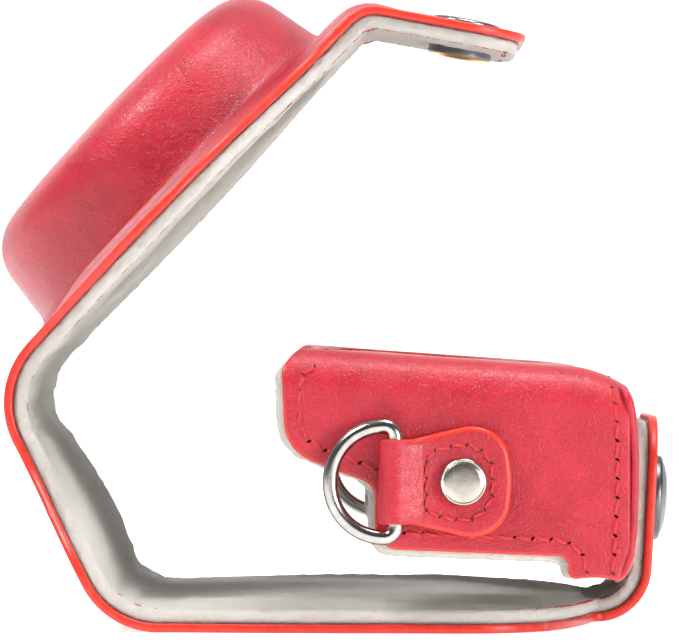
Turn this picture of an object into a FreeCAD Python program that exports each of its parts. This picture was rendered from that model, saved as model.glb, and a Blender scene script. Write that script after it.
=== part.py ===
import FreeCAD, Part
import math
import os

os.makedirs("parts", exist_ok=True)

# All lengths are in millimetres. +X points from the open cover to the tongue,
# +Y runs along the width of the case and +Z is up. Z = 0 is the table.

# Layers of the wrap-round cover, from the outside in
LEATHER = 1.25
FLEECE = 1.9
FLEECE_INSET = 0.9

# Straight runs and folds of the cover, measured on the outer leather face
TONGUE_LEAN = 3.1
TONGUE_RUN = 21.89
TONGUE_HALF_WIDTH = 20.0
FOLD_1_CORNER = 44.5
FOLD_1_RADIUS = 8.0
BACK_RUN = 61.94
BACK_HALF_WIDTH = 52.5
BACK_WIDEST = 18.7
FOLD_2_TURN = 62.5
FOLD_2_RADIUS = 12.0
FOLD_2_HALF_WIDTH = 50.0
TOP_RUN = 21.85
FOLD_3_TURN = 71.3
FOLD_3_RADIUS = 12.5
FOLD_3_HALF_WIDTH = 39.0
FRONT_RUN = 64.3
FRONT_HALF_WIDTH = 50.5
FRONT_WIDEST = 26.0
FOLD_4_TURN = 56.4
FOLD_4_RADIUS = 6.0
FLAP_RUN = 21.2
FLAP_HALF_WIDTH = 20.0
END_ROUNDING = 9.0

# Moulded dome for the lens on the front panel
DOME_CENTRE = 31.3
DOME_RADIUS = 29.25
DOME_HEIGHT = 16.4
DOME_CROWN = 0.8
DOME_TAPER = 9.0
DOME_FILLET = 7.5
DOME_LEATHER = 1.2
DOME_LINING = 1.0
DOME_FLANGE = 2.0

# Half-case that holds the camera
CASE_HALF_WIDTH = 54.0
CASE_LEATHER = 1.3
CASE_LINING = 1.9
CASE_FRONT_Z = 39.45
CASE_FRONT_SLOPE = 0.070
CASE_EDGE_RADIUS = 5.5
CASE_RIGHT_X = 41.3
CASE_FLOOR_Z = 7.0
CASE_SEAM_X = 39.95
LENS_HALF_OPENING = 28.5
LENS_OPENING_END_X = 31.3
LENS_OPENING_RADIUS = 28.4
BASE_PAD_X = (31.8, 38.1)
BASE_PAD_Z = (7.6, 31.8)
BASE_PAD_HALF_WIDTH = 50.7

# Tripod screw in the base of the half-case
SCREW_Y = 31.0
SCREW_Z = 19.6
SCREW_RADIUS = 3.15
SCREW_TIP_X = 27.4
SCREW_THREAD_END_X = 31.5
SCREW_NECK_RADIUS = 2.6
SCREW_HEAD_RADIUS = 7.5
SCREW_HEAD_THICK = 2.2
SCREW_FIT = 0.08
SCREW_GAP = 0.3
SCREW_KNURLS = 30
WASHER_THICK = 0.8

# Strap tab, D-ring and rivet on each cheek
TAB_Z = 21.1
TAB_PLY = 1.2
TAB_LOOP_WIDTH = 11.7
TAB_END_X = 15.85
TAB_END_RADIUS = 7.65
RING_BAR_X = 7.7
RING_WIRE_RADIUS = 1.05
RING_FIT = 0.10
RING_DEPTH = 8.95
RING_LENGTH = 15.3
RING_CORNER = 1.6
RING_BOW = 7.4
RIVET_X = 17.0
RIVET_RADIUS = 3.25
RIVET_HEIGHT = 1.7
RIVET_POST_RADIUS = 1.25
BURR_RADIUS = 3.6
BURR_THICK = 0.6

# Magnetic catch between the flap and the tongue
CATCH_FROM_FOLD = 12.3
CAP_RADIUS = 5.6
CAP_HEIGHT = 1.5
CATCH_RADIUS = 4.8
CATCH_HEIGHT = 2.2
CATCH_BEDDED = 0.75
CATCH_WALL = 1.3
CATCH_CORE_RADIUS = 2.4
CATCH_POST_RADIUS = 1.4
DISC_Z = 17.3
DISC_RADIUS = 6.25
DISC_RIM = 1.4
DISC_HEIGHT = 2.9
DISC_POST_RADIUS = 1.5
DISC_BURR_RADIUS = 4.5
DISC_BURR_X = 37.15
DISC_BURR_THICK = 0.9

# Stitching
STITCH_PITCH = 2.5
STITCH_LENGTH = 1.75
STITCH_WIDTH = 0.5
STITCH_HEIGHT = 0.3
STITCH_INSET = 2.0


def vec(x, y, z):
    return FreeCAD.Vector(x, y, z)


def save(name, shape):
    shape.exportStep("parts/" + name + ".step")


def rounded_edges(points, place):
    """Edges of a closed outline of (a, b, radius) corners, set in space by place(a, b)."""
    edges = []
    count = len(points)
    starts = []
    ends = []
    middles = []
    for i in range(count):
        a = points[i - 1]
        b = points[i]
        c = points[(i + 1) % count]
        into = (b[0] - a[0], b[1] - a[1])
        out = (c[0] - b[0], c[1] - b[1])
        size_in = math.hypot(into[0], into[1])
        size_out = math.hypot(out[0], out[1])
        into = (into[0] / size_in, into[1] / size_in)
        out = (out[0] / size_out, out[1] / size_out)
        turn = math.acos(max(-1.0, min(1.0, into[0] * out[0] + into[1] * out[1])))
        back = b[2] * math.tan(turn / 2)
        starts.append((b[0] - into[0] * back, b[1] - into[1] * back))
        ends.append((b[0] + out[0] * back, b[1] + out[1] * back))
        bisect = (out[0] - into[0], out[1] - into[1])
        size = math.hypot(bisect[0], bisect[1]) or 1.0
        reach = b[2] * (1 / math.cos(turn / 2) - 1)
        middles.append((b[0] + bisect[0] / size * reach, b[1] + bisect[1] / size * reach))
    for i in range(count):
        here = place(ends[i][0], ends[i][1])
        there = place(starts[(i + 1) % count][0], starts[(i + 1) % count][1])
        if points[i][2] > 0:
            first = place(starts[i][0], starts[i][1])
            middle = place(middles[i][0], middles[i][1])
            edges.append(Part.Arc(first, middle, here).toShape())
        if (there - here).Length > 1e-4:
            edges.append(Part.makeLine(here, there))
    return edges


def rounded_face(points, place):
    return Part.Face(Part.Wire(rounded_edges(points, place)))


def in_xz(y):
    return lambda a, b: vec(a, y, b)


def in_xy(z):
    return lambda a, b: vec(a, b, z)


def walk():
    """Start, heading and length of each run and the centre and angles of each fold."""
    lean = math.radians(TONGUE_LEAN)
    turn_1 = 90.0 - TONGUE_LEAN
    tangent = FOLD_1_RADIUS * math.tan(math.radians(turn_1) / 2)
    reach = TONGUE_RUN + tangent
    x = FOLD_1_CORNER + reach * math.sin(lean)
    z = reach * math.cos(lean)
    angle = -90.0 - TONGUE_LEAN
    runs = {}
    folds = {}
    steps = [
        ("tongue", TONGUE_RUN, "fold_1", turn_1, FOLD_1_RADIUS),
        ("back", BACK_RUN, "fold_2", FOLD_2_TURN, FOLD_2_RADIUS),
        ("top", TOP_RUN, "fold_3", FOLD_3_TURN, FOLD_3_RADIUS),
        ("front", FRONT_RUN, "fold_4", FOLD_4_TURN, FOLD_4_RADIUS),
        ("flap", FLAP_RUN, None, 0.0, 0.0),
    ]
    for run, length, fold, turn, radius in steps:
        heading = math.radians(angle)
        runs[run] = (x, z, heading, length)
        x += length * math.cos(heading)
        z += length * math.sin(heading)
        if fold is None:
            continue
        centre_x = x + radius * math.sin(heading)
        centre_z = z - radius * math.cos(heading)
        folds[fold] = (centre_x, centre_z, angle, turn, radius)
        angle -= turn
        heading = math.radians(angle)
        x = centre_x - radius * math.sin(heading)
        z = centre_z + radius * math.cos(heading)
    return runs, folds


RUNS, FOLDS = walk()


def set_on_run(shape, run):
    """Move a shape from flat (u along the run, w inward) to its place on the cover."""
    x, z, heading, _ = RUNS[run]
    hx = math.cos(heading)
    hz = math.sin(heading)
    matrix = FreeCAD.Matrix(hx, 0, hz, x, 0, -1, 0, 0, hz, 0, -hx, z, 0, 0, 0, 1)
    return shape.transformed(matrix, True)


def bezier(a, b, c, d):
    curve = Part.BezierCurve()
    curve.setPoles([vec(p[0], p[1], 0) for p in (a, b, c, d)])
    return curve.toShape()


def mirrored_side(edges):
    return [e.mirror(vec(0, 0, 0), vec(0, 1, 0)) for e in edges]


def plate(side, start, end, low, high):
    """Flat sheet between a side outline at +Y and its mirror image."""
    edges = side + mirrored_side(side)
    edges.append(Part.makeLine(vec(start[0], -start[1], 0), vec(start[0], start[1], 0)))
    edges.append(Part.makeLine(vec(end[0], -end[1], 0), vec(end[0], end[1], 0)))
    wire = Part.Wire(Part.__sortEdges__(edges))
    face = Part.Face(wire)
    face.translate(vec(0, 0, low))
    return face.extrude(vec(0, 0, high - low))


def tongue_sheet(low, high, inset):
    half = TONGUE_HALF_WIDTH - inset
    corner = END_ROUNDING - inset
    points = [
        (inset, -half, corner),
        (TONGUE_RUN, -half, 0),
        (TONGUE_RUN, half, 0),
        (inset, half, corner),
    ]
    face = rounded_face(points, in_xy(low))
    return set_on_run(face.extrude(vec(0, 0, high - low)), "tongue")


def back_sheet(low, high, inset):
    narrow = TONGUE_HALF_WIDTH - inset
    wide = BACK_HALF_WIDTH - inset
    last = FOLD_2_HALF_WIDTH - inset
    swell = bezier((0, narrow), (1.5, narrow + 2), (3, wide), (BACK_WIDEST, wide))
    fade = bezier((BACK_WIDEST, wide), (41.7, wide), (48.7, last), (BACK_RUN, last))
    sheet = plate([swell, fade], (0, narrow), (BACK_RUN, last), low, high)
    return set_on_run(sheet, "back")


def top_sheet(low, high, inset):
    first = FOLD_2_HALF_WIDTH - inset
    last = FOLD_3_HALF_WIDTH - inset
    side = bezier((0, first), (8, first), (TOP_RUN - 8, last), (TOP_RUN, last))
    return set_on_run(plate([side], (0, first), (TOP_RUN, last), low, high), "top")


def front_sheet(low, high, inset, hole):
    first = FOLD_3_HALF_WIDTH - inset
    wide = FRONT_HALF_WIDTH - inset
    last = FLAP_HALF_WIDTH - inset
    swell = bezier((0, first), (8, first + 3), (11, wide), (FRONT_WIDEST, wide))
    fade = bezier((FRONT_WIDEST, wide), (47, wide), (47, last), (FRONT_RUN, last))
    sheet = plate([swell, fade], (0, first), (FRONT_RUN, last), low, high)
    centre = vec(DOME_CENTRE, 0, low)
    rim = Part.makeCylinder(DOME_RADIUS + DOME_FLANGE - inset, high - low, centre)
    sheet = sheet.fuse(rim).removeSplitter()
    sheet = sheet.cut(Part.makeCylinder(hole, high - low, centre))
    return set_on_run(sheet.Solids[0], "front")


def flap_sheet(low, high, inset):
    half = FLAP_HALF_WIDTH - inset
    corner = END_ROUNDING - inset
    points = [
        (0, -half, 0),
        (FLAP_RUN - inset, -half, corner),
        (FLAP_RUN - inset, half, corner),
        (0, half, 0),
    ]
    face = rounded_face(points, in_xy(low))
    return set_on_run(face.extrude(vec(0, 0, high - low)), "flap")


def fold_strip(fold, half_width, low, high):
    """Part of a tube between two runs, between two depths below the outer leather face."""
    x, z, angle, turn, radius = FOLDS[fold]
    outer = radius - low
    inner = radius - high
    length = 2 * half_width
    tube = Part.makeCylinder(outer, length, vec(0, 0, -half_width), vec(0, 0, 1), turn)
    core = Part.makeCylinder(inner, length, vec(0, 0, -half_width), vec(0, 0, 1), turn)
    strip = tube.cut(core)
    # the wedge runs from 0 to turn about its own axis, which becomes the fold's Y axis
    strip.rotate(vec(0, 0, 0), vec(1, 0, 0), 90)
    strip.rotate(vec(0, 0, 0), vec(0, 1, 0), -(angle + 90.0 - turn))
    strip.translate(vec(x, 0, z))
    return strip


def dome_solid(base, height, fillet, bottom):
    """Solid of revolution with tapered sides, a filleted top and a slightly domed crown."""
    rise = height - DOME_CROWN
    top = base - rise * math.tan(math.radians(DOME_TAPER))
    points = [(0, -bottom, 0), (base, -bottom, 0), (top, rise, fillet), (0, height, 0)]
    if bottom > 0:
        points.insert(2, (base, 0, 0))
    face = rounded_face(points, in_xz(0))
    solid = face.revolve(vec(0, 0, 0), vec(0, 0, 1), 360)
    solid.rotate(vec(0, 0, 0), vec(1, 0, 0), 180)
    solid.translate(vec(DOME_CENTRE, 0, 0))
    return solid


def dome_leather():
    outer = dome_solid(DOME_RADIUS, DOME_HEIGHT, DOME_FILLET, 0.0)
    inner = dome_solid(
        DOME_RADIUS - DOME_LEATHER, DOME_HEIGHT - DOME_LEATHER, DOME_FILLET - DOME_LEATHER, 1.0
    )
    return set_on_run(outer.cut(inner), "front")


def dome_lining():
    skin = DOME_LEATHER
    both = DOME_LEATHER + DOME_LINING
    outer = dome_solid(DOME_RADIUS - skin, DOME_HEIGHT - skin, DOME_FILLET - skin, LEATHER)
    inner = dome_solid(DOME_RADIUS - both, DOME_HEIGHT - both, DOME_FILLET - both, LEATHER + 1)
    return set_on_run(outer.cut(inner), "front")


def case_body(depth):
    """Body of the half-case whose faces lie at a depth inside its outer faces."""
    top = CASE_FRONT_Z - depth
    right = CASE_RIGHT_X - depth
    profile = [
        (-60, top + CASE_FRONT_SLOPE * 56, 0),
        (33.5, top - CASE_FRONT_SLOPE * 38, 12),
        (40.6 - depth, 33.9 - depth * 0.8, max(2.4 - depth, 0.4)),
        (right, 25.0, 20),
        (right - 0.1, 12.0, 8),
        (right - 2.4, CASE_FLOOR_Z - 0.2, 0),
        (right - 2.8, -10, 0),
        (-60, -10, 0),
    ]
    face = rounded_face(profile, in_xz(-70))
    along = face.extrude(vec(0, 140, 0))
    half = CASE_HALF_WIDTH - depth
    start_x = 60
    start_z = top - CASE_FRONT_SLOPE * (start_x + 4)
    corner = max(CASE_EDGE_RADIUS - depth, 0.5)
    ends = [(-half, -20, 0), (-half, start_z, corner), (half, start_z, corner), (half, -20, 0)]
    section = rounded_face(ends, lambda a, b: vec(start_x, a, b))
    across = section.extrude(vec(-140, 0, 140 * CASE_FRONT_SLOPE))
    return along.common(across)


def case_outline(inset):
    """Side outline of the half-case: the ear, the cut-away back and the leg."""
    points = [
        (60, CASE_FLOOR_Z + inset, 0),
        (60, 60, 0),
        (-2.5 + inset, 60, 0),
        (-5.0 + inset, 40.3, 2),
        (-8.15 + inset, 37.2, 2.2),
        (-7.5 + inset, 25.2, 5.5),
        (4.9 + inset, 20.6, 2.5),
        (4.9 + inset, 11.8 + inset, 3),
        (31.6 + inset, 10.7 + inset, 1.2),
        (31.6 + inset, CASE_FLOOR_Z + inset, 0.8),
    ]
    return points


def case_trim(inset):
    face = rounded_face(case_outline(inset), in_xz(-70))
    return face.extrude(vec(0, 140, 0))


def lens_cut(grow):
    """Opening in the front wall for the lens, open towards the top of the camera."""
    half = LENS_HALF_OPENING + grow
    end = LENS_OPENING_END_X + grow
    radius = LENS_OPENING_RADIUS
    points = [
        (-60, -40, 0),
        (-9, -40, 3),
        (0, -half, 8),
        (end, -half, radius),
        (end, half, radius),
        (0, half, 8),
        (-9, 40, 3),
        (-60, 40, 0),
    ]
    face = rounded_face(points, in_xy(33.0))
    return face.extrude(vec(0, 0, 30))


def bores():
    """Holes through the base for the neck of the tripod screw and the post of the catch disc."""
    bore = SCREW_NECK_RADIUS + SCREW_FIT
    screw = Part.makeCylinder(bore, 40, vec(20, SCREW_Y, SCREW_Z), vec(1, 0, 0))
    post = Part.makeCylinder(DISC_POST_RADIUS, 40, vec(20, 0, DISC_Z), vec(1, 0, 0))
    return screw.fuse(post)


def rivet_bores():
    return Part.makeCylinder(RIVET_POST_RADIUS, 140, vec(RIVET_X, -70, TAB_Z), vec(0, 1, 0))


def case_shell(outer, inner, inset, grow):
    shell = case_body(outer).cut(case_body(inner))
    shell = shell.common(case_trim(inset))
    shell = shell.cut(lens_cut(grow))
    return shell.cut(bores()).cut(rivet_bores())


def slab(x_low, x_high):
    return Part.makeBox(x_high - x_low, 140, 100, vec(x_low, -70, -20))


def disc_burr_room():
    start = vec(DISC_BURR_X - 0.05, 0, DISC_Z)
    return Part.makeCylinder(DISC_BURR_RADIUS, DISC_BURR_THICK + 0.1, start, vec(1, 0, 0))


def build_case():
    skin = case_shell(0, CASE_LEATHER, 0, 0)
    save("case_front_leather", skin.common(slab(-60, CASE_SEAM_X)).Solids[0])
    save("case_bottom_leather", skin.common(slab(CASE_SEAM_X, 60)).Solids[0])
    lining = case_shell(CASE_LEATHER, CASE_LEATHER + CASE_LINING, 0.7, 0.7)
    seats = []
    for side in (-1, 1):
        y = side * (CASE_HALF_WIDTH - CASE_LEATHER - BURR_THICK / 2)
        seat = Part.makeCylinder(BURR_RADIUS, BURR_THICK, vec(0, 0, 0), vec(0, 1, 0))
        seat.translate(vec(RIVET_X, y - BURR_THICK / 2, TAB_Z))
        seats.append(seat)
    lining = lining.cut(seats[0]).cut(seats[1])
    lining = lining.cut(disc_burr_room())
    save("case_lining", lining.Solids[0])
    pad = Part.makeBox(
        BASE_PAD_X[1] - BASE_PAD_X[0],
        2 * BASE_PAD_HALF_WIDTH,
        BASE_PAD_Z[1] - BASE_PAD_Z[0],
        vec(BASE_PAD_X[0], -BASE_PAD_HALF_WIDTH, BASE_PAD_Z[0]),
    )
    pad = pad.common(case_body(CASE_LEATHER + CASE_LINING)).cut(bores()).cut(disc_burr_room())
    washer_room = Part.makeCylinder(
        SCREW_RADIUS + 2.4, WASHER_THICK, vec(BASE_PAD_X[0], SCREW_Y, SCREW_Z), vec(1, 0, 0)
    )
    save("base_pad", pad.cut(washer_room).Solids[0])


def build_screw():
    """Knurled tripod screw, and the washer it turns in."""
    head_x = CASE_RIGHT_X + SCREW_GAP
    axis = vec(1, 0, 0)
    tip = vec(SCREW_TIP_X, SCREW_Y, SCREW_Z)
    thread = Part.makeCylinder(SCREW_RADIUS, SCREW_THREAD_END_X - SCREW_TIP_X, tip, axis)
    neck = Part.makeCylinder(SCREW_NECK_RADIUS, head_x - SCREW_TIP_X, tip, axis)
    head = Part.makeCylinder(
        SCREW_HEAD_RADIUS, SCREW_HEAD_THICK, vec(head_x, SCREW_Y, SCREW_Z), axis
    )
    for i in range(SCREW_KNURLS):
        a = 2 * math.pi * i / SCREW_KNURLS
        y = SCREW_Y + (SCREW_HEAD_RADIUS + 0.2) * math.cos(a)
        z = SCREW_Z + (SCREW_HEAD_RADIUS + 0.2) * math.sin(a)
        head = head.cut(Part.makeCylinder(0.45, SCREW_HEAD_THICK, vec(head_x, y, z), axis))
    slot_x = head_x + SCREW_HEAD_THICK - 0.9
    slot = Part.makeBox(0.9, 10.0, 1.4, vec(slot_x, SCREW_Y - 5, SCREW_Z - 0.7))
    save("tripod_screw", thread.fuse(neck).fuse(head).cut(slot).Solids[0])
    washer = Part.makeCylinder(
        SCREW_RADIUS + 2.4, WASHER_THICK, vec(BASE_PAD_X[0], SCREW_Y, SCREW_Z), axis
    )
    hole = Part.makeCylinder(
        SCREW_NECK_RADIUS + SCREW_FIT, WASHER_THICK, vec(BASE_PAD_X[0], SCREW_Y, SCREW_Z), axis
    )
    save("screw_washer", washer.cut(hole))


def strap_tab():
    """Strap folded round the bar of the D-ring, with a rounded end, on the near cheek."""
    y = -CASE_HALF_WIDTH
    half = TAB_LOOP_WIDTH / 2
    thick = 2 * TAB_PLY
    bore = RING_WIRE_RADIUS + RING_FIT
    outer = bore + TAB_PLY
    bar_y = y - outer
    neck = RING_BAR_X + 3.0
    end = TAB_END_X + TAB_END_RADIUS
    points = [
        (neck, TAB_Z - half, 0),
        (neck + 1.5, TAB_Z - half, 2),
        (TAB_END_X - 1.0, TAB_Z - TAB_END_RADIUS, 3),
        (end, TAB_Z - TAB_END_RADIUS, TAB_END_RADIUS - 0.05),
        (end, TAB_Z + TAB_END_RADIUS, TAB_END_RADIUS - 0.05),
        (TAB_END_X - 1.0, TAB_Z + TAB_END_RADIUS, 3),
        (neck + 1.5, TAB_Z + half, 2),
        (neck, TAB_Z + half, 0),
    ]
    tab = rounded_face(points, in_xz(y)).extrude(vec(0, -thick, 0))
    # the strap's side view: round the bar, then down to lie on its own inner ply
    side = [
        (RING_BAR_X - outer, y, outer - 0.01),
        (neck + 2.0, y, 0),
        (neck + 2.0, y - thick, 0),
        (RING_BAR_X + 4.0, y - thick, 1.5),
        (RING_BAR_X + 1.6, y - 2 * outer, 1.0),
        (RING_BAR_X - outer, y - 2 * outer, outer - 0.01),
    ]
    loop = rounded_face(side, in_xy(TAB_Z - half)).extrude(vec(0, 0, TAB_LOOP_WIDTH))
    hole = Part.makeCylinder(bore, TAB_LOOP_WIDTH, vec(RING_BAR_X, bar_y, TAB_Z - half))
    return tab.fuse(loop.cut(hole)).removeSplitter().cut(rivet_bores()).Solids[0]


def d_ring():
    bar_y = -CASE_HALF_WIDTH - TAB_PLY - RING_WIRE_RADIUS - RING_FIT
    half = RING_LENGTH / 2
    points = [
        (RING_BAR_X, TAB_Z - half, RING_CORNER),
        (RING_BAR_X, TAB_Z + half, RING_CORNER),
        (RING_BAR_X - RING_DEPTH, TAB_Z + half, RING_BOW),
        (RING_BAR_X - RING_DEPTH, TAB_Z - half, RING_BOW),
    ]
    path = Part.Wire(rounded_edges(points, in_xz(bar_y)))
    start = path.Edges[0].Vertexes[0].Point
    tangent = path.Edges[0].tangentAt(path.Edges[0].FirstParameter)
    wire = Part.Wire(Part.makeCircle(RING_WIRE_RADIUS, start, tangent))
    return path.makePipeShell([wire], True, True)


def low_dome(radius, rim, height):
    """Low domed metal cap standing on Z = 0."""
    sphere_radius = (radius**2 + (height - rim) ** 2) / (2 * (height - rim))
    ball = Part.makeSphere(sphere_radius, vec(0, 0, height - sphere_radius))
    return Part.makeCylinder(radius, height).common(ball)


def rivet():
    """Domed rivet through tab, cheek leather and burr."""
    cap = low_dome(RIVET_RADIUS, 0.6, RIVET_HEIGHT)
    reach = 2 * TAB_PLY + CASE_LEATHER + BURR_THICK
    post = Part.makeCylinder(RIVET_POST_RADIUS, reach, vec(0, 0, -reach))
    solid = cap.fuse(post)
    solid.rotate(vec(0, 0, 0), vec(1, 0, 0), 90)
    solid.translate(vec(RIVET_X, -CASE_HALF_WIDTH - 2 * TAB_PLY, TAB_Z))
    return solid


def burr():
    y = -CASE_HALF_WIDTH + CASE_LEATHER
    ring = Part.makeCylinder(BURR_RADIUS, BURR_THICK, vec(RIVET_X, y, TAB_Z), vec(0, 1, 0))
    return ring.cut(rivet_bores())


def far_side(shape):
    return shape.mirror(vec(0, 0, 0), vec(0, 1, 0))


def build_tabs():
    for name, shape in (("strap_tab", strap_tab()), ("d_ring", d_ring())):
        save(name + "_near", shape)
        save(name + "_far", far_side(shape))
    save("rivets", Part.makeCompound([rivet(), far_side(rivet())]))
    save("rivet_burrs", Part.makeCompound([burr(), far_side(burr())]))


def catch_bore(radius):
    centre = vec(CATCH_FROM_FOLD, 0, -10)
    return set_on_run(Part.makeCylinder(radius, 30, centre), "flap")


def build_catch():
    """Cap, magnet ring and core on the flap, and the disc on the tongue."""
    depth = LEATHER + CATCH_BEDDED
    cap = low_dome(CAP_RADIUS, 0.5, CAP_HEIGHT)
    cap.rotate(vec(0, 0, 0), vec(1, 0, 0), 180)
    post = Part.makeCylinder(CATCH_POST_RADIUS, depth)
    cap = cap.fuse(post)
    cap.translate(vec(CATCH_FROM_FOLD, 0, 0))
    save("catch_cap", set_on_run(cap, "flap"))
    base = vec(CATCH_FROM_FOLD, 0, depth)
    inner = CATCH_RADIUS - CATCH_WALL
    housing = Part.makeCylinder(CATCH_RADIUS, CATCH_HEIGHT, base)
    housing = housing.cut(Part.makeCylinder(inner, CATCH_HEIGHT - 0.6, base + vec(0, 0, 0.6)))
    save("catch_housing", set_on_run(housing, "flap"))
    floor = base + vec(0, 0, 0.6)
    magnet = Part.makeCylinder(inner, CATCH_HEIGHT - 1.4, floor)
    magnet = magnet.cut(Part.makeCylinder(CATCH_CORE_RADIUS, CATCH_HEIGHT, floor))
    save("catch_magnet", set_on_run(magnet, "flap"))
    core = Part.makeCylinder(CATCH_CORE_RADIUS, CATCH_HEIGHT - 1.0, floor)
    core = core.cut(Part.makeCylinder(CATCH_CORE_RADIUS - 0.9, CATCH_HEIGHT, floor))
    save("catch_core", set_on_run(core, "flap"))
    lean = math.radians(TONGUE_LEAN)
    disc_x = FOLD_1_CORNER + DISC_Z * math.tan(lean)
    disc = low_dome(DISC_RADIUS, DISC_RIM, DISC_HEIGHT)
    reach = disc_x - (CASE_RIGHT_X - CASE_LEATHER - CASE_LINING - 1.0)
    disc.rotate(vec(0, 0, 0), vec(0, 1, 0), 90 + TONGUE_LEAN)
    post = Part.makeCylinder(DISC_POST_RADIUS, reach, vec(-reach, 0, 0), vec(1, 0, 0))
    disc = disc.fuse(post)
    disc.translate(vec(disc_x, 0, DISC_Z))
    save("catch_disc", disc.Solids[0])
    start = vec(DISC_BURR_X, 0, DISC_Z)
    ring = Part.makeCylinder(DISC_BURR_RADIUS, DISC_BURR_THICK, start, vec(1, 0, 0))
    hole = Part.makeCylinder(DISC_POST_RADIUS, 3, vec(36, 0, DISC_Z), vec(1, 0, 0))
    save("disc_burr", ring.cut(hole))


def spacer_pad():
    """Leather pad that fills the gap between the bottom wall and the leaning tongue."""
    pad = Part.makeCylinder(9.0, 6.0, vec(40.0, 0, DISC_Z), vec(1, 0, 0))
    lean = math.radians(TONGUE_LEAN)
    inside = LEATHER + FLEECE
    x = FOLD_1_CORNER - inside / math.cos(lean)
    points = [
        (20, -10, 0),
        (x - 10 * math.tan(lean), -10, 0),
        (x + 50 * math.tan(lean), 50, 0),
        (20, 50, 0),
    ]
    room = rounded_face(points, in_xz(-20)).extrude(vec(0, 40, 0))
    pad = pad.common(room)
    pad = pad.cut(case_body(0))
    return pad.cut(bores()).Solids[0]


def build_cover():
    inside = LEATHER + FLEECE
    layers = (("leather", 0.0, LEATHER, 0.0), ("lining", LEATHER, inside, FLEECE_INSET))
    post = Part.makeCylinder(DISC_POST_RADIUS, 20, vec(35, 0, DISC_Z), vec(1, 0, 0))
    for name, low, high, inset in layers:
        save("tongue_" + name, tongue_sheet(low, high, inset).cut(post).Solids[0])
        save("back_" + name, back_sheet(low, high, inset))
        save("top_" + name, top_sheet(low, high, inset))
        hole = DOME_RADIUS - DOME_LEATHER - (0.0 if name == "leather" else DOME_LINING)
        save("front_" + name, front_sheet(low, high, inset, hole))
        bore = CATCH_POST_RADIUS if name == "leather" else CATCH_RADIUS
        flap = flap_sheet(low, high, inset).cut(catch_bore(bore))
        save("flap_" + name, flap.Solids[0])
        save("fold_1_" + name, fold_strip("fold_1", TONGUE_HALF_WIDTH - inset, low, high))
        save("fold_2_" + name, fold_strip("fold_2", FOLD_2_HALF_WIDTH - inset, low, high))
        save("fold_3_" + name, fold_strip("fold_3", FOLD_3_HALF_WIDTH - inset, low, high))
        save("fold_4_" + name, fold_strip("fold_4", FLAP_HALF_WIDTH - inset, low, high))
    save("dome_leather", dome_leather())
    save("dome_lining", dome_lining())
    save("tongue_pad", spacer_pad())


def stitches_along(wire, outward):
    """Row of stitches on a flat face, laid along a wire and standing off along outward."""
    count = max(2, int(round(wire.Length / STITCH_PITCH)))
    points = wire.discretize(Number=count + 1)
    solids = []
    for a, b in zip(points[:-1], points[1:]):
        along = b - a
        if along.Length < 0.5:
            continue
        along.normalize()
        side = outward.cross(along)
        middle = (a + b) * 0.5
        corner = middle - along * (STITCH_LENGTH / 2) - side * (STITCH_WIDTH / 2)
        box = Part.makeBox(STITCH_LENGTH, STITCH_WIDTH, STITCH_HEIGHT)
        matrix = FreeCAD.Matrix(
            along.x, side.x, outward.x, corner.x,
            along.y, side.y, outward.y, corner.y,
            along.z, side.z, outward.z, corner.z,
            0, 0, 0, 1,
        )
        solids.append(box.transformed(matrix, True))
    return solids


def polyline(points, place):
    return Part.makePolygon([place(a, b) for a, b in points])


def build_threads():
    """Stitching round the cheeks, along the seams and round the strap tabs."""
    outward = vec(0, -1, 0)
    place = in_xz(-CASE_HALF_WIDTH)
    edge = [(-5.4, 33.8), (-5.3, 28.4), (-3.2, 26.1), (1.6, 24.2), (4.6, 23.1)]
    lower = [(8.6, 13.4), (20.0, 13.0), (30.0, 12.8), (33.4, 11.6)]
    leg = [(33.6, 11.2), (33.8, 8.6)]
    seam = [(37.7, 32.6), (38.2, 20.0), (37.6, 8.6)]
    rows = []
    for line in (edge, lower, leg, seam):
        rows += stitches_along(polyline(line, place), outward)
    far = [far_side(s) for s in rows]
    save("case_thread", Part.makeCompound(rows + far))
    loop = [
        (11.6, TAB_Z - 4.6),
        (16.5, TAB_Z - 4.9),
        (21.0, TAB_Z - 3.4),
        (21.0, TAB_Z + 3.4),
        (16.5, TAB_Z + 4.9),
        (11.6, TAB_Z + 4.6),
    ]
    place = in_xz(-CASE_HALF_WIDTH - 2 * TAB_PLY)
    rows = stitches_along(polyline(loop, place), outward)
    far = [far_side(s) for s in rows]
    save("tab_thread", Part.makeCompound(rows + far))


build_cover()
build_case()
build_screw()
build_tabs()
build_catch()
build_threads()
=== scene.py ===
import math

import bpy
import numpy as np
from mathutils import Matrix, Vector, geometry


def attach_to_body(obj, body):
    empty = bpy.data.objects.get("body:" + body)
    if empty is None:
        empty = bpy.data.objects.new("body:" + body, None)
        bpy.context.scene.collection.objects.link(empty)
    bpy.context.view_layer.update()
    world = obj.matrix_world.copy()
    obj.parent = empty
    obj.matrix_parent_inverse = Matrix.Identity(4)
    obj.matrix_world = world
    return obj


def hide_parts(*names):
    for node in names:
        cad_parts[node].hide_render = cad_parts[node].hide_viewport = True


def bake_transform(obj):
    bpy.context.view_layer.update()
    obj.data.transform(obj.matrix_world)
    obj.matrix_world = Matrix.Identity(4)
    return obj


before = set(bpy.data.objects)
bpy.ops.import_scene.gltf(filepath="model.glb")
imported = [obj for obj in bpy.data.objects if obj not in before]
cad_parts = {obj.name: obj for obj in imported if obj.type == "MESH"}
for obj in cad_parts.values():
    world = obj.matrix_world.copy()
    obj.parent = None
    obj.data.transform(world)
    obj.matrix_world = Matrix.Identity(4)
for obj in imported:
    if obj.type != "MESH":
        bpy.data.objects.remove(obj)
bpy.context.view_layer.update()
MM = 0.001
TURN_40 = np.linspace(0, 2 * math.pi, 40, endpoint=False)
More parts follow.
